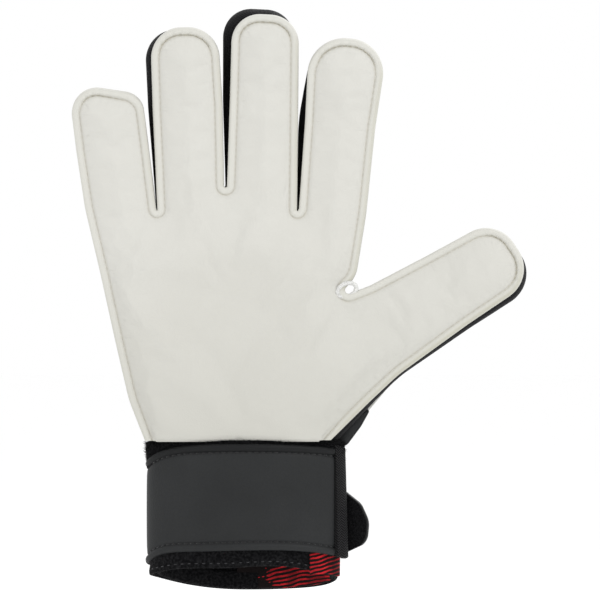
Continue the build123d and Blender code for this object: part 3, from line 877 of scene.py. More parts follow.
BACK_PROFILE = np.array([(2.1, -2.6), (2.0, -1.7), (2.1, -0.9), (2.4, -0.35), (2.9, -0.05), (3.4, -0.2),
                         (3.8, -0.7), (4.1, -0.95), (4.5, -0.7), (5.1, -0.1), (5.9, 0.3)])
BACK_CROWN = 1.3
FLEX_CHANNELS = 0.9         # depth of a pressed channel
RED = (0.50, 0.014, 0.020)
FINGER_PRINT = (0.045, 0.046, 0.048)
RED_BELOW = 0.128           # heights, m: the red print ends at this one, the grey starts at the next
GREY_ABOVE = 0.215


def back_height(distance, flat):
    """Crowned foam: the seam zone's end + BACK_CROWN (1 - e^-distance), less a channel across each joint."""
    seam, level_there = BACK_PROFILE[-1]
    crown = level_there + BACK_CROWN * (1 - np.exp(-(distance - seam) / 4))
    owner, reach = digit_of(flat)
    for i, digit in enumerate(DIGITS):
        for place in (digit.root_to_knuckle, digit.split, digit.middle_reach, digit.middle_reach + 9):
            near = np.exp(-((reach - place) / 1.3) ** 2) * (owner == i)
            crown = crown - FLEX_CHANNELS * near * np.clip(distance / 8, 0, 1)
    return crown


def foam_paint():
    """Black synthetic skin, finely grained, with diagonal stripes: red by the wrist, grey on the fingers."""
    paint, nodes, links, shader = new_paint("backhand_skin", 0.5, 0.35)
    place = object_place(nodes)
    apart = apart_of(nodes, links, place)
    warp = maths(nodes, links, "MULTIPLY", noise(nodes, links, place, 28, 2), 0.012)
    across = maths(nodes, links, "MULTIPLY_ADD", apart["X"], 0.42, apart["Z"])
    line = maths(nodes, links, "MULTIPLY", maths(nodes, links, "ADD", across, warp), 560.0)
    stripe = maths(nodes, links, "GREATER_THAN", maths(nodes, links, "SINE", line), 0.15)
    low = maths(nodes, links, "LESS_THAN", maths(nodes, links, "ADD", apart["Z"], warp), RED_BELOW)
    tips = maths(nodes, links, "GREATER_THAN", maths(nodes, links, "ADD", across, warp), GREY_ABOVE)
    grain = noise(nodes, links, place, 900, 2)
    base = shades(nodes, links, noise(nodes, links, place, 40), (0.3, (0.012, 0.012, 0.013)),
                  (0.7, (0.020, 0.020, 0.022)))
    fingers = blended(nodes, links, maths(nodes, links, "MULTIPLY", stripe, tips), base, FINGER_PRINT)
    printed = blended(nodes, links, maths(nodes, links, "MULTIPLY", stripe, low), fingers, RED)
    links.new(printed, shader.inputs["Base Color"])
    pits = cells(nodes, links, place, 620)
    bumps(nodes, links, shader, (pits, 0.35, 0.0004), (grain, 0.15, 0.0003))
    return paint


def backhand():
    """The back panel in its 11 shares."""
    path, inward, _ = glove_outline(show=1.0)
    flat, depth, _, _, faces = panel(path, inward, BACK_PROFILE, back_height, -1)
    owner, reach = digit_of(flat)
    front, back = upright(flat, BACK_FAR + depth), upright(flat, BACK_NEAR - HAIR_GAP)
    front, back = at_rest(front, owner, reach), at_rest(back, owner, reach)
    made = place_shares("back", front, back, flat, faces, foam_paint(), "back")
    for piece in made:
        if piece.name == "back_hand":
            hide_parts("back_panel")


backhand()

# ---------------------------------------------------------------------------------------------
# Knuckle pad: a raised foam pad over the back of the hand, sewn down all round. Three channels
# that run towards the wrist and two bowed ones across them press it into blocks.
# ---------------------------------------------------------------------------------------------

PAD_CORNERS = [(-51, 99, 9), (-58.5, 150, 30), (-60, 166, 9), (-43, 169, 10), (-25, 178, 12), (8, 179, 12),
               (26, 170, 12), (42, 165, 9), (41, 140, 30), (34, 99, 9)]
PAD_PROFILE = np.array([(0.3, -1.6), (0.0, -1.0), (0.15, -0.4), (0.6, 0.0), (1.3, 0.12), (1.9, -0.05),
                        (2.3, -0.35), (2.7, -0.1), (3.4, 0.5)])
PAD_CHANNELS = (-43.5, -9.0, 24.5)          # between two fingers each
PAD_CROSSES = (122.0, 146.0)
PAD_EDGE = 1.6              # from its seat up to its hem
PAD_SUNK = 0.6              # and down into the back's foam


def pad_height(distance, flat):
    """A crown of 1.6 above the hem, less channels that fan out upwards and bowed ones across them."""
    fan = 1 + (flat[:, 1] - 99) / 600
    height = 0.5 + 1.6 * (1 - np.exp(-(distance - 3.4) / 3.5))
    for place in PAD_CHANNELS:
        near = np.exp(-((flat[:, 0] - place * fan) / 1.7) ** 2)
        height = height - 1.7 * near * np.clip(distance / 6, 0, 1)
    for tall in PAD_CROSSES:
        bow = tall + 6 * np.cos(flat[:, 0] / 22)
        near = np.exp(-((flat[:, 1] - bow) / 1.5) ** 2)
        height = height - 1.2 * near * np.clip(distance / 6, 0, 1)
    return height


def knuckle_pad():
    """The pad as one closed piece on the back of the hand."""
    path, inward = closed_outline(PAD_CORNERS, arc=14, run=16)
    flat, depth, _, _, faces = panel(path, inward, PAD_PROFILE, pad_height, -1, spacing=1.5, closed=True)
    seat = BACK_FAR + 1.1
    front, back = upright(flat, seat + PAD_EDGE + depth), upright(flat, seat - PAD_SUNK)
    paint, nodes, links, shader = new_paint("pad_skin", 0.42, 0.4)
    place = object_place(nodes)
    tone = shades(nodes, links, noise(nodes, links, place, 35),
                  (0.35, (0.020, 0.021, 0.022)), (0.7, (0.034, 0.035, 0.037)))
    links.new(tone, shader.inputs["Base Color"])
    bumps(nodes, links, shader, (cells(nodes, links, place, 700), 0.4, 0.0004))
    piece = closed_sheet("knuckle_pad_foam", front, back, faces, vertex_normals(front, faces), paint)
    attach(piece, "hand")
    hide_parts("knuckle_pad")


knuckle_pad()

# ---------------------------------------------------------------------------------------------
# Linings: two loose sheets of thin brushed polyester, one behind the latex and one inside the
# back panel, which run down to the wrist.
# ---------------------------------------------------------------------------------------------


def lining_paint():
    """Dark brushed polyester."""
    paint, nodes, links, shader = new_paint("brushed_lining", 0.9, 0.15, 0.3)
    place = object_place(nodes)
    tone = shades(nodes, links, noise(nodes, links, place, 500, 4),
                  (0.35, (0.006, 0.006, 0.007)), (0.7, (0.025, 0.025, 0.027)))
    links.new(tone, shader.inputs["Base Color"])
    bumps(nodes, links, shader, (noise(nodes, links, place, 1800), 0.5, 0.0004))
    return paint


LINING_PAINT = lining_paint()
LINING_THICK = 0.6
LINING_CORNERS = [(-43.0, 72.5, 2), (-53.0, 115, 40), (-60.0, 160, 40), (-62, 176, 6), (-45, 176, 5),
                  (-30, 186, 8), (18, 186, 8), (36, 176, 6), (47, 174, 6), (44.5, 150, 20),
                  (41.0, 139, 12), (52, 128, 8), (62, 112, 6), (49, 88, 20), (38.0, 72.5, 2)]


def even(far, at):
    """A panel's middle without a swell."""
    return far * 0


def lining_sheet(name, node, depth, sign):
    """A flat sheet 0.6 mm thick with shallow ripples of 0.25 mm."""
    path, inward = closed_outline(LINING_CORNERS, arc=6, run=5)
    profile = np.array([(0.0, 0.0), (1.5, 0.0)])
    flat, _, _, _, faces = panel(path, inward, profile, even, sign, spacing=5.0, closed=True)
    ripple = 0.25 * np.sin(flat[:, 0] / 5) * np.cos(flat[:, 1] / 9)
    front = upright(flat, depth - sign * (LINING_THICK / 2 + ripple))
    back = front + np.array([0, sign * LINING_THICK, 0])
    piece = closed_sheet(name, front, back, faces, vertex_normals(front, faces), LINING_PAINT)
    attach(piece, "hand")
    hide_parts(node)
    return piece


PALM_LINING_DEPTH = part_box("palm_lining")[0].y / MM + 0.7
BACK_LINING_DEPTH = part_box("back_lining")[1].y / MM - 0.7
lining_sheet("palm_lining_sheet", "palm_lining", PALM_LINING_DEPTH, 1)
lining_sheet("back_lining_sheet", "back_lining", BACK_LINING_DEPTH, -1)

# ---------------------------------------------------------------------------------------------
# Wrist bandage: a stretch tube of black brushed knit round the wrist, cut on a slant and longer
# behind. Its thumb side is faced with red and black striped cloth, and a striped flap laps over it.
# ---------------------------------------------------------------------------------------------

CUFF_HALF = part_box("wrist_bandage")[1].x / MM
CUFF_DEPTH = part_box("wrist_bandage")[1].y / MM
CUFF_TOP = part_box("wrist_bandage")[1].z / MM
CUFF_FRONT = 12.0           # lower edge in front and behind
CUFF_BACK = -1.6
BANDAGE = 1.6


def oval(angle, half, depth, proud):
    """A place on an oval, half across and depth deep, pushed out along its normal by proud."""
    across, deep = np.cos(angle), np.sin(angle)
    normal = np.stack([across / half, deep / depth], -1)
    normal /= np.linalg.norm(normal, axis=-1, keepdims=True)
    return np.stack([half * across, depth * deep], -1) + normal * np.asarray(proud)[..., None]


def swept(name, rings, paint, round_trip=False, uv_scale=1.0):
    """Joins rings, an array (ring, place, xyz) in mm, into a closed solid; round_trip joins the ends."""
    count, size = rings.shape[:2]
    i, j = np.meshgrid(np.arange(count - (not round_trip)), np.arange(size), indexing="ij")
    here, ahead = i * size, (i + 1) % count * size
    quads = np.stack([here + j, ahead + j, ahead + (j + 1) % size, here + (j + 1) % size], -1).reshape(-1, 4)
    faces = quads.tolist()
    if not round_trip:
        faces += [list(range(size)), list(range(count * size - 1, (count - 1) * size - 1, -1))]
    points = rings.reshape(-1, 3)
    volume = np.einsum("ij,ij->i", points[quads[:, 0]], np.cross(points[quads[:, 1]], points[quads[:, 2]]))
    volume += np.einsum("ij,ij->i", points[quads[:, 0]], np.cross(points[quads[:, 2]], points[quads[:, 3]]))
    if volume.sum() < 0:
        faces = [face[::-1] for face in faces]
    mesh = bpy.data.meshes.new(name)
    mesh.from_pydata((points * MM).tolist(), [], faces)
    mesh.polygons.foreach_set("use_smooth", [len(face) == 4 for face in faces])
    run = np.concatenate([[0], np.cumsum(np.linalg.norm(np.diff(rings.mean(1), axis=0), axis=1))])
    round_it = np.linalg.norm(np.diff(rings, axis=1, append=rings[:, :1]), axis=2)
    up = np.concatenate([np.zeros((count, 1)), np.cumsum(round_it, 1)[:, :-1]], 1)
    uv = np.stack([np.repeat(run, size), up.ravel()], 1) * MM * uv_scale
    corners = np.zeros(len(mesh.loops), int)
    mesh.loops.foreach_get("vertex_index", corners)
    mesh.uv_layers.new(name="surface").data.foreach_set("uv", uv[corners].astype(np.float32).ravel())
    mesh.materials.append(paint)
    return linked(name, mesh)


def cuff_low(angle):
    """Lower edge of the bandage: a slant from front to back, higher at the little-finger end, and a wave."""
    front = (1 - np.sin(angle)) / 2
    left = np.clip(-np.cos(angle), 0, 1) ** 2
    slant = CUFF_BACK + (CUFF_FRONT - CUFF_BACK) * front ** 1.1
    return slant + 4.0 * left * (1 - front) + 0.55 * np.sin(angle * 5 + 1) * front


def no_flare(angle):
    """A band that keeps to the oval."""
    return 0 * angle


def band(name, angles, half, depth, section, low, high, paint, round_trip=False, flare=no_flare):
    """Carries a closed section round the oval.

    A section row is (share of the height, mm up from there, mm proud of the oval); low and high
    give the band's edges at each place, and flare pushes its lower edge out.
    """
    angle = np.asarray(angles)[:, None]
    proud = section[None, :, 2] + flare(angle) * (1 - section[None, :, 0])
    flat = oval(angle + 0 * section[None, :, 2], half, depth, proud)
    bottom, top = low(np.asarray(angles)), high(np.asarray(angles))
    up = bottom[:, None] + (top - bottom)[:, None] * section[None, :, 0] + section[None, :, 1]
    return swept(name, np.concatenate([flat, up[..., None]], -1), paint, round_trip)


def brushed_paint(name, dark, light, scale=900):
    """Short looped pile: speckled near-black with a rough, sheeny surface."""
    paint, nodes, links, shader = new_paint(name, 0.95, 0.04, 0.04)
    place = object_place(nodes)
    speck = noise(nodes, links, place, scale, 4)
    links.new(shades(nodes, links, speck, (0.4, dark), (0.68, light)), shader.inputs["Base Color"])
    bumps(nodes, links, shader, (speck, 0.9, 0.0009))
    return paint


DARK_RED = (0.17, 0.007, 0.010)
STRIPES_FROM = 0.0275       # the print fades out short of this x, m


def stripe_paint():
    """Red cloth crossed by uneven slanting black stripes; the red fades out towards its inner end."""
    paint, nodes, links, shader = new_paint("striped_cloth", 0.85, 0.08, 0.03)
    place = object_place(nodes)
    apart = apart_of(nodes, links, place)
    lean = maths(nodes, links, "MULTIPLY_ADD", apart["X"], -0.2, apart["Z"])
    warp = maths(nodes, links, "MULTIPLY", noise(nodes, links, place, 55, 2), 0.0050)
    line = maths(nodes, links, "MULTIPLY", maths(nodes, links, "ADD", lean, warp), 3300.0)
    wave = maths(nodes, links, "SINE", line)
    speck = noise(nodes, links, place, 1400, 2)
    ragged = maths(nodes, links, "MULTIPLY", noise(nodes, links, place, 260, 2), 0.03)
    start = maths(nodes, links, "ADD", apart["X"], ragged)
    gap = maths(nodes, links, "MAXIMUM", maths(nodes, links, "SUBTRACT", STRIPES_FROM, start))
    patches = maths(nodes, links, "MULTIPLY", noise(nodes, links, place, 95, 2), 2.2)
    share = maths(nodes, links, "ADD", wave, maths(nodes, links, "MULTIPLY", speck, 1.0))
    share = maths(nodes, links, "ADD", share, patches)
    share = maths(nodes, links, "SUBTRACT", share, maths(nodes, links, "MULTIPLY", gap, 460.0))
    dye = shades(nodes, links, noise(nodes, links, place, 130, 2), (0.36, DARK_RED), (0.62, RED))
    shown = maths(nodes, links, "MULTIPLY", maths(nodes, links, "SUBTRACT", share, 1.55), 2.2, clamp=True)
    links.new(blended(nodes, links, shown, (0.006, 0.004, 0.004), dye), shader.inputs["Base Color"])
    bumps(nodes, links, shader, (speck, 0.5, 0.0004))
    return paint


TUBE_SECTION = np.array([(0, 0.3, -1.6), (0, -0.05, -1.3), (0, -0.2, -0.8), (0, -0.05, -0.3), (0, 0.4, 0),
                         (0, 2, 0.12), (0, 4, -0.25), (0, 5, -0.25), (0, 6, 0), (0.3, 0, 0), (0.6, 0, 0),
                         (1, -1, 0), (1, 0, -0.4), (1, 0, -1.2), (1, -1, -1.6), (0.7, 0, -1.6),
                         (0.4, 0, -1.7), (0.2, 0, -1.7), (0, 3, -1.8)])
LAP_SECTION = np.array([(0, 0.4, 0.1), (0, 0, 0.4), (0, 0, 0.8), (0, 0.4, 1.1), (0.5, 0, 1.2), (1, 0, 1.0),
                        (1, 0, 0.2), (0.5, 0, 0.1)])
INNER_SECTION = np.array([(0, 0, 0), (0, -0.3, -0.4), (0, 0, -0.8), (0.5, 0, -1.0), (1, 0, -0.8), (1, 0, 0),
                          (0.5, 0, 0)])
TURN = np.linspace(0, 2 * np.pi, 161)[:-1]
KNIT = brushed_paint("brushed_knit", (0.0025, 0.0025, 0.003), (0.013, 0.013, 0.014))
STRIPES = stripe_paint()


def cuff_flare(angle):
    """The cuff's mouth opens 2.2 mm wider at the little-finger end."""
    return 2.2 * np.clip(-np.cos(angle - 0.35), 0, 1) ** 2


def lap_low(angle):
    """Lower edge of the striped lap: higher in front, with a fine wave."""
    return 3.2 + 5.6 * ((1 - np.sin(angle)) / 2) + 0.4 * np.sin(angle * 9)


def level(height):
    """An edge at one height."""
    return lambda angle: np.full(len(angle), float(height))


def bandage():
    """The tube, the striped lap in front of its thumb side, and the striped facing inside behind."""
    tube = band("bandage_tube", TURN, CUFF_HALF, CUFF_DEPTH, TUBE_SECTION, cuff_low, level(CUFF_TOP - 0.2),
                KNIT, round_trip=True, flare=cuff_flare)
    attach(tube, "hand")
    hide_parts("wrist_bandage")
    lap_around = np.radians(np.linspace(-46.0, 3.0, 40))
    lap = band("striped_lap", lap_around, CUFF_HALF, CUFF_DEPTH, LAP_SECTION, lap_low, level(24.0), STRIPES)
    half, depth = CUFF_HALF - BANDAGE - 0.35, CUFF_DEPTH - BANDAGE - 0.35
    inner = band("striped_facing", np.radians(np.linspace(3.0, 96.0, 78)), half, depth, INNER_SECTION,
                 lambda angle: cuff_low(angle) + 0.8, level(22.0), STRIPES)
    for piece in (lap, inner):
        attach(piece, "hand")


bandage()

# ---------------------------------------------------------------------------------------------
# Bandage facing: a black brushed tape sewn over the raw edge inside the cuff, with a row of
# short grey stitches.
# ---------------------------------------------------------------------------------------------

FACING_SECTION = np.array([(0, 0, 0), (0, -0.3, -0.5), (0, 0.1, -1.0), (0, 1, -1.2), (0.5, 0, -1.25),
                           (1, -1, -1.2), (1, 0, -0.9), (1, 0, 0), (0.5, 0, 0)])
GREY = (0.026, 0.026, 0.029)


def stitches(name, places, runs, outs, length, thick, paint):
    """Short spindles of thread: at each place, along its run, half sunk along its outward direction."""
    turn = np.linspace(0, 2 * np.pi, 6)[:-1]
    steps = np.array([(-0.5, 0.35), (-0.25, 0.95), (0.25, 0.95), (0.5, 0.35)])
    side = np.cross(runs, outs)
    ring = outs[:, None] * np.cos(turn)[None, :, None] + side[:, None] * np.sin(turn)[None, :, None]
    points = (places[:, None, None] + runs[:, None, None] * (steps[:, 0] * length)[None, :, None, None]
              + ring[:, None] * (steps[:, 1] * thick)[None, :, None, None])
    count, faces = len(turn), []
    for row in range(len(steps) - 1):
        for k in range(count):
            a, b = row * count + k, row * count + (k + 1) % count
            faces.append((a, b, b + count, a + count))
    faces += [tuple(range(count))[::-1], tuple(range(3 * count, 4 * count))]
    size = len(steps) * count
    everything = [tuple(v + size * i for v in face) for i in range(len(places)) for face in faces]
    mesh = bpy.data.meshes.new(name)
    mesh.from_pydata((points.reshape(-1, 3) * MM).tolist(), [], everything)
    mesh.polygons.foreach_set("use_smooth", [True] * len(everything))
    mesh.materials.append(paint)
    return linked(name, mesh)


def thread_paint(name, colour):
    """Spun polyester thread: a twist of fine ridges along it."""
    paint, nodes, links, shader = new_paint(name, 0.6, 0.3, 0.2)
    place = object_place(nodes)
    twist = noise(nodes, links, place, 2500, 2)
    dark = tuple(value * 0.6 for value in colour)
    links.new(shades(nodes, links, twist, (0.35, dark), (0.65, colour)), shader.inputs["Base Color"])
    bumps(nodes, links, shader, (twist, 0.5, 0.0003))
    return paint


def along_band(pitch, start, end, half, depth, proud, height):
    """Places every pitch mm round an oval, with their run and outward directions."""
    fine = np.radians(np.linspace(start, end, 600))
    flat = oval(fine, half, depth, proud(fine) if callable(proud) else np.full(600, proud))
    path = np.concatenate([flat, height(fine)[:, None]], 1)
    run = np.concatenate([[0], np.cumsum(np.linalg.norm(np.diff(path, axis=0), axis=1))])
    marks = np.arange(pitch / 2, run[-1], pitch)
    places = np.stack([np.interp(marks, run, path[:, k]) for k in range(3)], 1)
    ahead = np.stack([np.interp(marks + 0.2, run, path[:, k]) for k in range(3)], 1)
    runs = ahead - places
    runs /= np.maximum(np.linalg.norm(runs, axis=1, keepdims=True), 1e-9)
    outs = np.cross(runs, [0, 0, 1.0])
    outs *= np.sign((outs * places).sum(1, keepdims=True))
    return places, runs, outs / np.linalg.norm(outs, axis=1, keepdims=True)


def facing():
    """The tape and its stitches."""
    half, depth = CUFF_HALF - BANDAGE - 0.2, CUFF_DEPTH - BANDAGE - 0.2
    around = np.radians(np.linspace(82, 372, 150))
    tape = band("facing_tape", around, half, depth, FACING_SECTION, lambda angle: cuff_low(angle) + 0.6,
                lambda angle: cuff_low(angle) + 8.6, KNIT)
    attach(tape, "hand")
    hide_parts("bandage_facing")
    places, runs, outs = along_band(3.4, 184, 356, CUFF_HALF, CUFF_DEPTH,
                                    lambda angle: 0.05 + cuff_flare(angle),
                                    lambda angle: cuff_low(angle) + 2.0)
    row = stitches("cuff_stitches", places, runs, outs, 1.5, 0.22, thread_paint("grey_thread", GREY))
    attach(row, "hand")


facing()

# ---------------------------------------------------------------------------------------------
# Wrist strap, front: a band of grained charcoal synthetic leather over foam, sewn to the wrist
# under the palm. Both edges are rolled over into round hems and stitched through.
# ---------------------------------------------------------------------------------------------

STRAP_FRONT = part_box("strap_front")
STRAP_THICK = 2.2
STRAP_IN_HALF = -STRAP_FRONT[0].x / MM - STRAP_THICK
STRAP_IN_DEPTH = -STRAP_FRONT[0].y / MM - STRAP_THICK
STRAP_TALL = 49.0
STITCH_IN = 3.9             # from an edge to its row of stitches
STITCH_PITCH = 3.0
STITCH_OUT = 2.15           # their height above the strap's inner face
STRAP_TILT = np.tan(np.radians(11.0))
STRAP_MID = (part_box("strap_end")[0].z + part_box("strap_end")[1].z) / 2 / MM + 7.0
STRAP_START = -24.0         # its sewn end at the thumb side, degrees
HEM_SECTION = np.array([(0.5, 0.0), (0.1, 0.8), (0.0, 1.7), (0.25, 2.6), (0.9, 3.2), (1.9, 3.4), (2.8, 3.1),
                        (3.4, 2.5), (3.75, 2.05), (4.05, 2.0), (4.4, 2.35), (5.2, 2.6), (7.5, 2.75),
                        (13, 2.85)])
STRAP_SECTION = np.array([(0, up, out) for up, out in HEM_SECTION] + [(0.5, 0, 2.9)]
                         + [(1, -up, out) for up, out in HEM_SECTION[::-1]]
                         + [(0.75, 0, 0), (0.5, 0, 0), (0.25, 0, 0)])


def strap_tilt(angle):
    """How much lower the tilted strap runs: positive behind, negative under the palm."""
    return STRAP_IN_DEPTH * 1.1 * np.sin(angle) * STRAP_TILT


def strap_low(angle):
    """Lower edge of the strap: tilted, slightly wavy, and drooping at both sides."""
    droop = 3.6 * np.clip(-np.cos(angle), 0, 1) ** 10 + 1.3 * np.clip(np.cos(angle), 0, 1) ** 6
    return STRAP_MID - STRAP_TALL / 2 - strap_tilt(angle) + 0.25 * np.sin(angle * 4) - droop


def strap_high(angle):
    """Upper edge: tilted, and drooping where the strap turns the little-finger side."""
    droop = 4.6 * np.clip(-np.cos(angle), 0, 1) ** 8
    return STRAP_MID + STRAP_TALL / 2 - strap_tilt(angle) - droop


BOUND_HEM = (0.0055, 0.006, 0.0065)


def leather_paint():
    """Charcoal synthetic leather: a fine pebble grain, soft mottling, and a blacker bound hem."""
    paint, nodes, links, shader = new_paint("charcoal_leather", 0.55, 0.2)
    place = object_place(nodes)
    pebbles = cells(nodes, links, place, 1100)
    tone = shades(nodes, links, noise(nodes, links, place, 30, 4), (0.3, (0.0150, 0.0160, 0.0168)),
                  (0.72, (0.0215, 0.0228, 0.0238)))
    grain = blended(nodes, links, maths(nodes, links, "MULTIPLY", pebbles, 0.35), tone, (0.010, 0.011, 0.011))
    colour = blended(nodes, links, attribute(nodes, "bound"), grain, BOUND_HEM)
    links.new(colour, shader.inputs["Base Color"])
    creases = noise(nodes, links, place, 120)
    bumps(nodes, links, shader, (pebbles, 0.25, 0.0003), (creases, 0.12, 0.001))
    return paint


LEATHER = leather_paint()
BLACK_THREAD = thread_paint("black_thread", (0.012, 0.012, 0.013))


def bind_upper(piece, places):
    """Marks the upper hem, which is bound in a blacker leather: the section's rows past its upper groove."""
    row = np.arange(len(STRAP_SECTION))
    dark = (row > len(HEM_SECTION) + 5) & (row <= 2 * len(HEM_SECTION))
    mark = piece.data.attributes.new("bound", "FLOAT", "POINT")
    mark.data.foreach_set("value", np.tile(dark, places).astype(np.float32))


def hem_rows(low):
    """The heights of a strap's two rows of stitches, given its lower edge."""
    return (("lower", lambda angle: low(angle) + STITCH_IN),
            ("upper", lambda angle: strap_high(angle) - STITCH_IN))


def strap_front():
    """The sewn part of the strap, from the thumb side under the palm to the little-finger side."""
    around = np.radians(np.linspace(STRAP_START, -179.6, 150))
    piece = band("strap_front_band", around, STRAP_IN_HALF, STRAP_IN_DEPTH, STRAP_SECTION,
                 strap_low, strap_high, LEATHER)
    bind_upper(piece, len(around))
    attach(piece, "hand")
    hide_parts("strap_front", "strap_front_binding")
    for edge, height in hem_rows(strap_low):
        places, runs, outs = along_band(STITCH_PITCH, STRAP_START - 1, -178, STRAP_IN_HALF, STRAP_IN_DEPTH,
                                        STITCH_OUT, height)
        row = stitches(f"strap_front_{edge}_stitches", places, runs, outs, 2.1, 0.3, BLACK_THREAD)
        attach(row, "hand")


strap_front()

# ---------------------------------------------------------------------------------------------
# Strap flap and its free end, laid over the back of the wrist. The flap folds open at the
# little-finger side; the tapered free end folds back on it at the thumb side.
# ---------------------------------------------------------------------------------------------

FLAP_IN_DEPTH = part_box("strap_flap")[1].y / MM - STRAP_THICK
FLAP_END = 35.0             # where the flap ends and the free end starts, degrees


def fold_over(piece):
    """Bakes a flap piece's placement into its mesh."""
    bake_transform(piece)


def flap_low(angle):
    """Lower edge of the flap: the strap's, and up to 3 mm lower behind the little-finger side."""
    return strap_low(angle) - 3.0 * np.exp(-((angle - 2.5) / 0.45) ** 2)


def strap_flap():
    """The flap with its two rows of stitches."""
    around = np.radians(np.linspace(179.4, FLAP_END + 0.8, 150))
    piece = band("strap_flap_band", around, STRAP_IN_HALF, FLAP_IN_DEPTH, STRAP_SECTION,
                 flap_low, strap_high, LEATHER)
    bind_upper(piece, len(around))
    fold_over(piece)
    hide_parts("strap_flap", "strap_flap_binding")
    for edge, height in hem_rows(flap_low):
        places, runs, outs = along_band(STITCH_PITCH, 176, FLAP_END + 2, STRAP_IN_HALF, FLAP_IN_DEPTH,
                                        STITCH_OUT, height)
        row = stitches(f"strap_flap_{edge}_stitches", places, runs, outs, 2.1, 0.3, BLACK_THREAD)
        fold_over(row)


strap_flap()

# the free end's plane: where it starts, its run away from the flap, and its outward direction
END_ANGLE = np.radians(FLAP_END)
END_AT = np.array([STRAP_IN_HALF * np.cos(END_ANGLE), FLAP_IN_DEPTH * np.sin(END_ANGLE)])
END_RUN = np.array([STRAP_IN_HALF * np.sin(END_ANGLE), -FLAP_IN_DEPTH * np.cos(END_ANGLE)])
END_RUN /= np.linalg.norm(END_RUN)
END_OUT = np.array([-END_RUN[1], END_RUN[0]])
END_CORNERS = [(0.7, 13.4, 2.0), (0.7, 52.6, 2.0), (12.8, 45.2, 9.0), (21.5, 39.6, 8.0), (25.9, 31.5, 9.0),
               (24.8, 21.5, 7.0), (13.5, 16.6, 12.0)]
END_HEM = np.array([(0.0, -1.6), (0.05, -0.8), (0.5, -0.15), (1.2, 0.05), (2.0, -0.05), (2.5, -0.35),
                    (3.0, -0.05), (3.6, 0.1)])


def flat_tab(name, corners, near, far, paint, profile, height):
    """A flat closed panel in the plane of the free end, from near to far along its outward direction."""
    path, inward = closed_outline(corners, arc=12, run=8)
    flat, depth, _, _, faces = panel(path, inward, profile, height, -1, spacing=1.6, closed=True)

    def placed(out):
        """The outline's places, this far out of the plane."""
        ground = END_AT + flat[:, :1] * END_RUN + np.asarray(out)[:, None] * END_OUT
        return np.concatenate([ground, flat[:, 1:]], 1)

    front, back = placed(far + depth), placed(np.full(len(flat), near))
    return closed_sheet(name, front, back, faces, vertex_normals(front, faces), paint)


FUZZ = brushed_paint("hook_pile", (0.0015, 0.0015, 0.002), (0.012, 0.012, 0.013), 1500)


def strap_end():
    """The free end: leather outside, and a patch of fuzzy pile inside that shows beside the cuff."""
    outer = flat_tab("strap_end_tab", END_CORNERS, 0.0, STRAP_THICK, LEATHER, END_HEM,
                     lambda far, at: 0.1 + far * 0)
    pile = flat_tab("strap_end_pile", END_CORNERS, -1.1, -0.05, FUZZ, END_HEM[[0, 2, 3]] * 0.5, even)
    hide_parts("strap_end")
    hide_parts("strap_end_hook")
    for piece in (outer, pile):
        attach(piece, "strap_end")


strap_end()

# ---------------------------------------------------------------------------------------------
# Side tape: a stiff woven herringbone tape over the strap's sewn end at the thumb side. It stands
# a little proud of the strap, and spreads towards its lower end.
# ---------------------------------------------------------------------------------------------

TAPE_ANGLES = np.radians(np.linspace(STRAP_START + 0.5, 6.0, 40))
TAPE_OUT = 3.5
ZIGZAG = 0.0014             # half a zigzag's width, m


def herringbone_paint():
    """Black tape woven in a tight zigzag that follows its length."""
    paint, nodes, links, shader = new_paint("herringbone_tape", 0.85, 0.06, 0.04)
    place = object_place(nodes)
    apart = apart_of(nodes, links, place)
    fold = maths(nodes, links, "PINGPONG", maths(nodes, links, "ADD", apart["X"], 1.0), ZIGZAG)
    line = maths(nodes, links, "MULTIPLY", maths(nodes, links, "ADD", apart["Z"], fold), 5200.0)
    wave = maths(nodes, links, "SINE", line)
    tone = shades(nodes, links, maths(nodes, links, "MULTIPLY_ADD", wave, 0.5, 0.5),
                  (0.3, (0.003, 0.003, 0.0035)), (0.75, (0.016, 0.016, 0.017)))
    links.new(tone, shader.inputs["Base Color"])
    bumps(nodes, links, shader, (wave, 0.8, 0.0004))
    return paint


TAPE_SECTION = np.array([(0, 0.6, 0.0), (0, 0.1, 0.5), (0, 0, 2.2), (0, 0.3, TAPE_OUT - 0.5),
                         (0, 0.9, TAPE_OUT), (0.25, 0, TAPE_OUT), (0.5, 0, TAPE_OUT), (0.75, 0, TAPE_OUT),
                         (1, -0.9, TAPE_OUT), (1, -0.3, TAPE_OUT - 0.5), (1, 0, 2.2), (1, -0.1, 0.5),
                         (1, -0.6, 0.0), (0.5, 0, 0)])
TAPE_SPREAD = 1.4           # how much further out its lower end stands


def side_tape():
    """The tape as a flat band with soft edges, over the strap's end."""
    piece = band("herringbone_tape", TAPE_ANGLES, STRAP_IN_HALF - 0.2, STRAP_IN_DEPTH - 0.2, TAPE_SECTION,
                 lambda angle: strap_low(angle) - 0.1, lambda angle: strap_high(angle) + 1.6,
                 herringbone_paint(), flare=lambda angle: TAPE_SPREAD + 0 * angle)
    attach(piece, "hand")
    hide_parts("side_tape")


side_tape()

# ---------------------------------------------------------------------------------------------
# Wrist gore: a strip of the same fuzzy knit that shows between the strap and the latex, and
# closes the front of the wrist.
# ---------------------------------------------------------------------------------------------

GORE_SECTION = np.array([(0, 0, -1.4), (0, 0, 0.3), (0.3, 0, 0.6), (0.7, 0, 0.7), (1, -0.6, 0.6), (1, 0, 0.1),
                         (1, 0, -1.4), (0.5, 0, -1.4)])
GORE_BOTTOM = 56.0
GORE_HAIRS = 3800


def gore_high(angle):
    """Upper edge of the gore: at the latex's lower end in front, and 2.6 mm below it at both sides."""
    return HAND_BOTTOM - 2.6 + 2.6 * np.clip(-np.sin(angle), 0, 1)


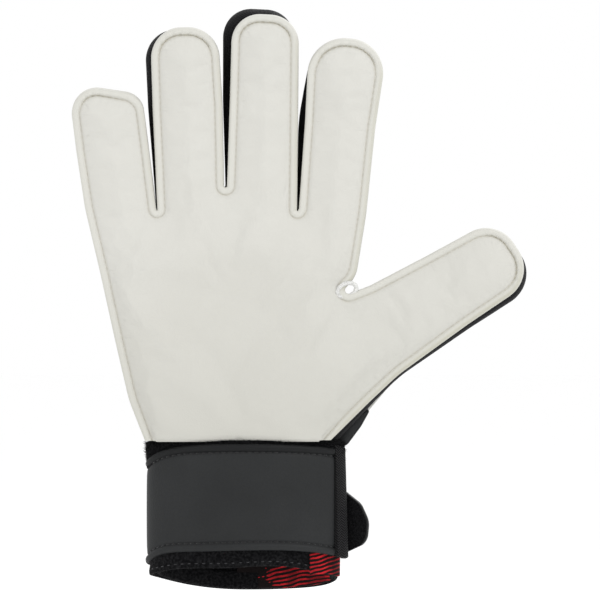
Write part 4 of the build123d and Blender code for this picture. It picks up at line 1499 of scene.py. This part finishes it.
def fibres(name, bases, outs, length, thick, paint, seed):
    """Short bent hairs: each a quad and a triangle from its base along its outward direction and aside."""
    random = np.random.default_rng(seed)
    lean = random.normal(0, 0.55, (len(bases), 3))
    side = np.cross(outs, lean)
    side /= np.maximum(np.linalg.norm(side, axis=1, keepdims=True), 1e-9)
    tall = length * random.uniform(0.5, 1.2, (len(bases), 1))
    middle = bases + (outs + lean * 0.3) * tall * 0.5
    tip = bases + (outs * 0.8 + lean) * tall
    points = np.stack([bases - side * thick, bases + side * thick, middle + side * thick * 0.7,
                       middle - side * thick * 0.7, tip], 1)
    shape = ((0, 1, 2, 3), (3, 2, 4))
    faces = [tuple(v + 5 * i for v in face) for i in range(len(bases)) for face in shape]
    mesh = bpy.data.meshes.new(name)
    mesh.from_pydata((points.reshape(-1, 3) * MM).tolist(), [], faces)
    mesh.materials.append(paint)
    return linked(name, mesh)


def wrist_gore():
    """The gore with its pile."""
    around = np.radians(np.linspace(-184.0, -4.0, 120))
    half, depth = CUFF_HALF + 2.8, CUFF_DEPTH + 0.3
    piece = band("wrist_gore", around, half, depth, GORE_SECTION, level(GORE_BOTTOM), gore_high, KNIT)
    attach(piece, "hand")
    random = np.random.default_rng(11)
    angle = np.radians(random.uniform(-178, -6, GORE_HAIRS))
    flat = oval(angle, half, depth, np.full(len(angle), 0.6))
    share = random.uniform(0, 1, len(angle)) ** 0.6
    bases = np.concatenate([flat, (gore_high(angle) - 9.4 + 9 * share)[:, None]], 1)
    outs = np.stack([np.cos(angle) * depth, np.sin(angle) * half, np.full(len(angle), 9.0)], 1)
    outs /= np.linalg.norm(outs, axis=1, keepdims=True)
    pile = fibres("wrist_gore_pile", bases, outs, 1.3, 0.09, KNIT, 5)
    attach(pile, "hand")


wrist_gore()

# ---------------------------------------------------------------------------------------------
# Thumb side panel: a small leaf of the strap's leather, sewn between the back panel and the cuff
# under the thumb, with a pale piping along the back panel's edge above it.
# ---------------------------------------------------------------------------------------------

LEAF_CORNERS = [(41.2, 69.8, 2.0), (46.4, 76.6, 20.0), (52.6, 82.0, 3.0), (59.0, 84.8, 1.3),
                (53.8, 75.4, 20.0), (47.4, 66.8, 3.0), (44.8, 66.0, 2.0)]
LEAF_HEM = np.array([(0.0, -3.0), (0.05, -1.2), (0.25, -0.3), (0.55, 0.0), (0.8, -0.25), (1.05, 0.1),
                     (1.3, 0.3)])
LEAF_DEPTH = 1.0            # y of its hem's crest
PIPING = [(55.8, 82.2), (58.9, 85.6), (61.9, 88.7), (65.4, 92.4)]
PIPING_RINGS = 41


def leaf_height(distance, flat):
    """The hem's end, and 0.2 mm more for each mm further in."""
    return 0.3 + 0.2 * (distance - 1.3)


def thumb_panel():
    """The leaf, from the gusset's depth to the back panel."""
    path, inward = closed_outline(LEAF_CORNERS, arc=8, run=8)
    flat, depth, _, _, faces = panel(path, inward, LEAF_HEM, leaf_height, 1, spacing=1.2, closed=True)
    front, back = upright(flat, LEAF_DEPTH - depth), upright(flat, BACK_NEAR)
    piece = closed_sheet("thumb_leaf", front, back, faces, vertex_normals(front, faces), LEATHER)
    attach(piece, "hand")
    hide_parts("thumb_side_panel")


def piping():
    """A pale cord along the back panel's edge: circles whose radius tapers from 1.15 mm to 0.2 mm."""
    points = np.array(PIPING)
    share = np.linspace(0, len(points) - 1, PIPING_RINGS)
    centre = np.stack([np.interp(share, np.arange(len(points)), points[:, k]) for k in (0, 1)], 1)
    run = np.gradient(centre, axis=0)
    run /= np.linalg.norm(run, axis=1, keepdims=True)
    side = np.stack([run[:, 1], -run[:, 0]], 1)
    turn = np.linspace(0, 2 * np.pi, 13)[:-1]
    thick = 0.2 + 0.95 * np.linspace(1, 0, PIPING_RINGS) ** 0.7
    flat = centre[:, None] + side[:, None] * (np.cos(turn)[None] * thick[:, None])[..., None]
    deep = BACK_NEAR - 1.5 + np.sin(turn)[None] * thick[:, None]
    rings = np.concatenate([flat[..., :1], deep[..., None], flat[..., 1:]], -1)
    paint, nodes, links, shader = new_paint("pale_piping", 0.6, 0.3, 0.1)
    place = object_place(nodes)
    tone = shades(nodes, links, noise(nodes, links, place, 900),
                  (0.4, (0.45, 0.45, 0.42)), (0.7, (0.62, 0.62, 0.59)))
    links.new(tone, shader.inputs["Base Color"])
    piece = swept("pale_piping", rings, paint)
    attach(piece, "hand")


thumb_panel()
piping()

# ---------------------------------------------------------------------------------------------
# Bar tack: a loop of white thread that reinforces the latex at the crotch beside the thumb.
# ---------------------------------------------------------------------------------------------


TACK_AT = (46.9, 138.9)
TACK_LONG, TACK_SHORT = 4.5, 3.0        # half sizes of the loop
TACK_LEAN = np.radians(22)
TACK_THICK = 1.05


def bar_tack():
    """A loop of thread round the crotch's small hole: a leaning oval ring with a slow wobble."""
    turn = np.linspace(0, 2 * np.pi, 49)[:-1]
    long, short = TACK_LONG * np.cos(turn), TACK_SHORT * np.sin(turn)
    across = TACK_AT[0] + long * np.cos(TACK_LEAN) - short * np.sin(TACK_LEAN)
    deep = -(PALM_FACE - 0.9 + 0.7 * np.sin(turn) + 0.15 * np.sin(turn * 7))
    tall = TACK_AT[1] + long * np.sin(TACK_LEAN) + short * np.cos(TACK_LEAN)
    centre = np.stack([across, deep, tall], 1)
    run = np.roll(centre, -1, 0) - np.roll(centre, 1, 0)
    run /= np.linalg.norm(run, axis=1, keepdims=True)
    side = np.cross(run, [0, 1.0, 0])
    up = np.cross(side, run)
    around = np.linspace(0, 2 * np.pi, 11)[:-1]
    thick = (TACK_THICK + 0.1 * np.sin(turn * 9))[:, None, None]
    rings = centre[:, None] + thick * (side[:, None] * np.cos(around)[None, :, None]
                                       + up[:, None] * np.sin(around)[None, :, None])
    piece = swept("bar_tack", rings, thread_paint("white_thread", (0.80, 0.80, 0.78)), round_trip=True)
    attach(piece, "hand")


bar_tack()

# ---------------------------------------------------------------------------------------------
# Fastener patches under the flap: a loop patch sewn to the bandage behind the wrist, and a hook
# patch inside the flap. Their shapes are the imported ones; only their finish is given here.
# ---------------------------------------------------------------------------------------------


def finish_node(node, paint):
    """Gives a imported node's object a finish."""
    materials = frame["nodes"][node].data.materials
    materials.clear()
    materials.append(paint)


LOOP_PILE = brushed_paint("loop_pile", (0.003, 0.003, 0.0035), (0.020, 0.020, 0.022), 1300)
finish_node("loop_patch", LOOP_PILE)
finish_node("flap_hook_patch", FUZZ)
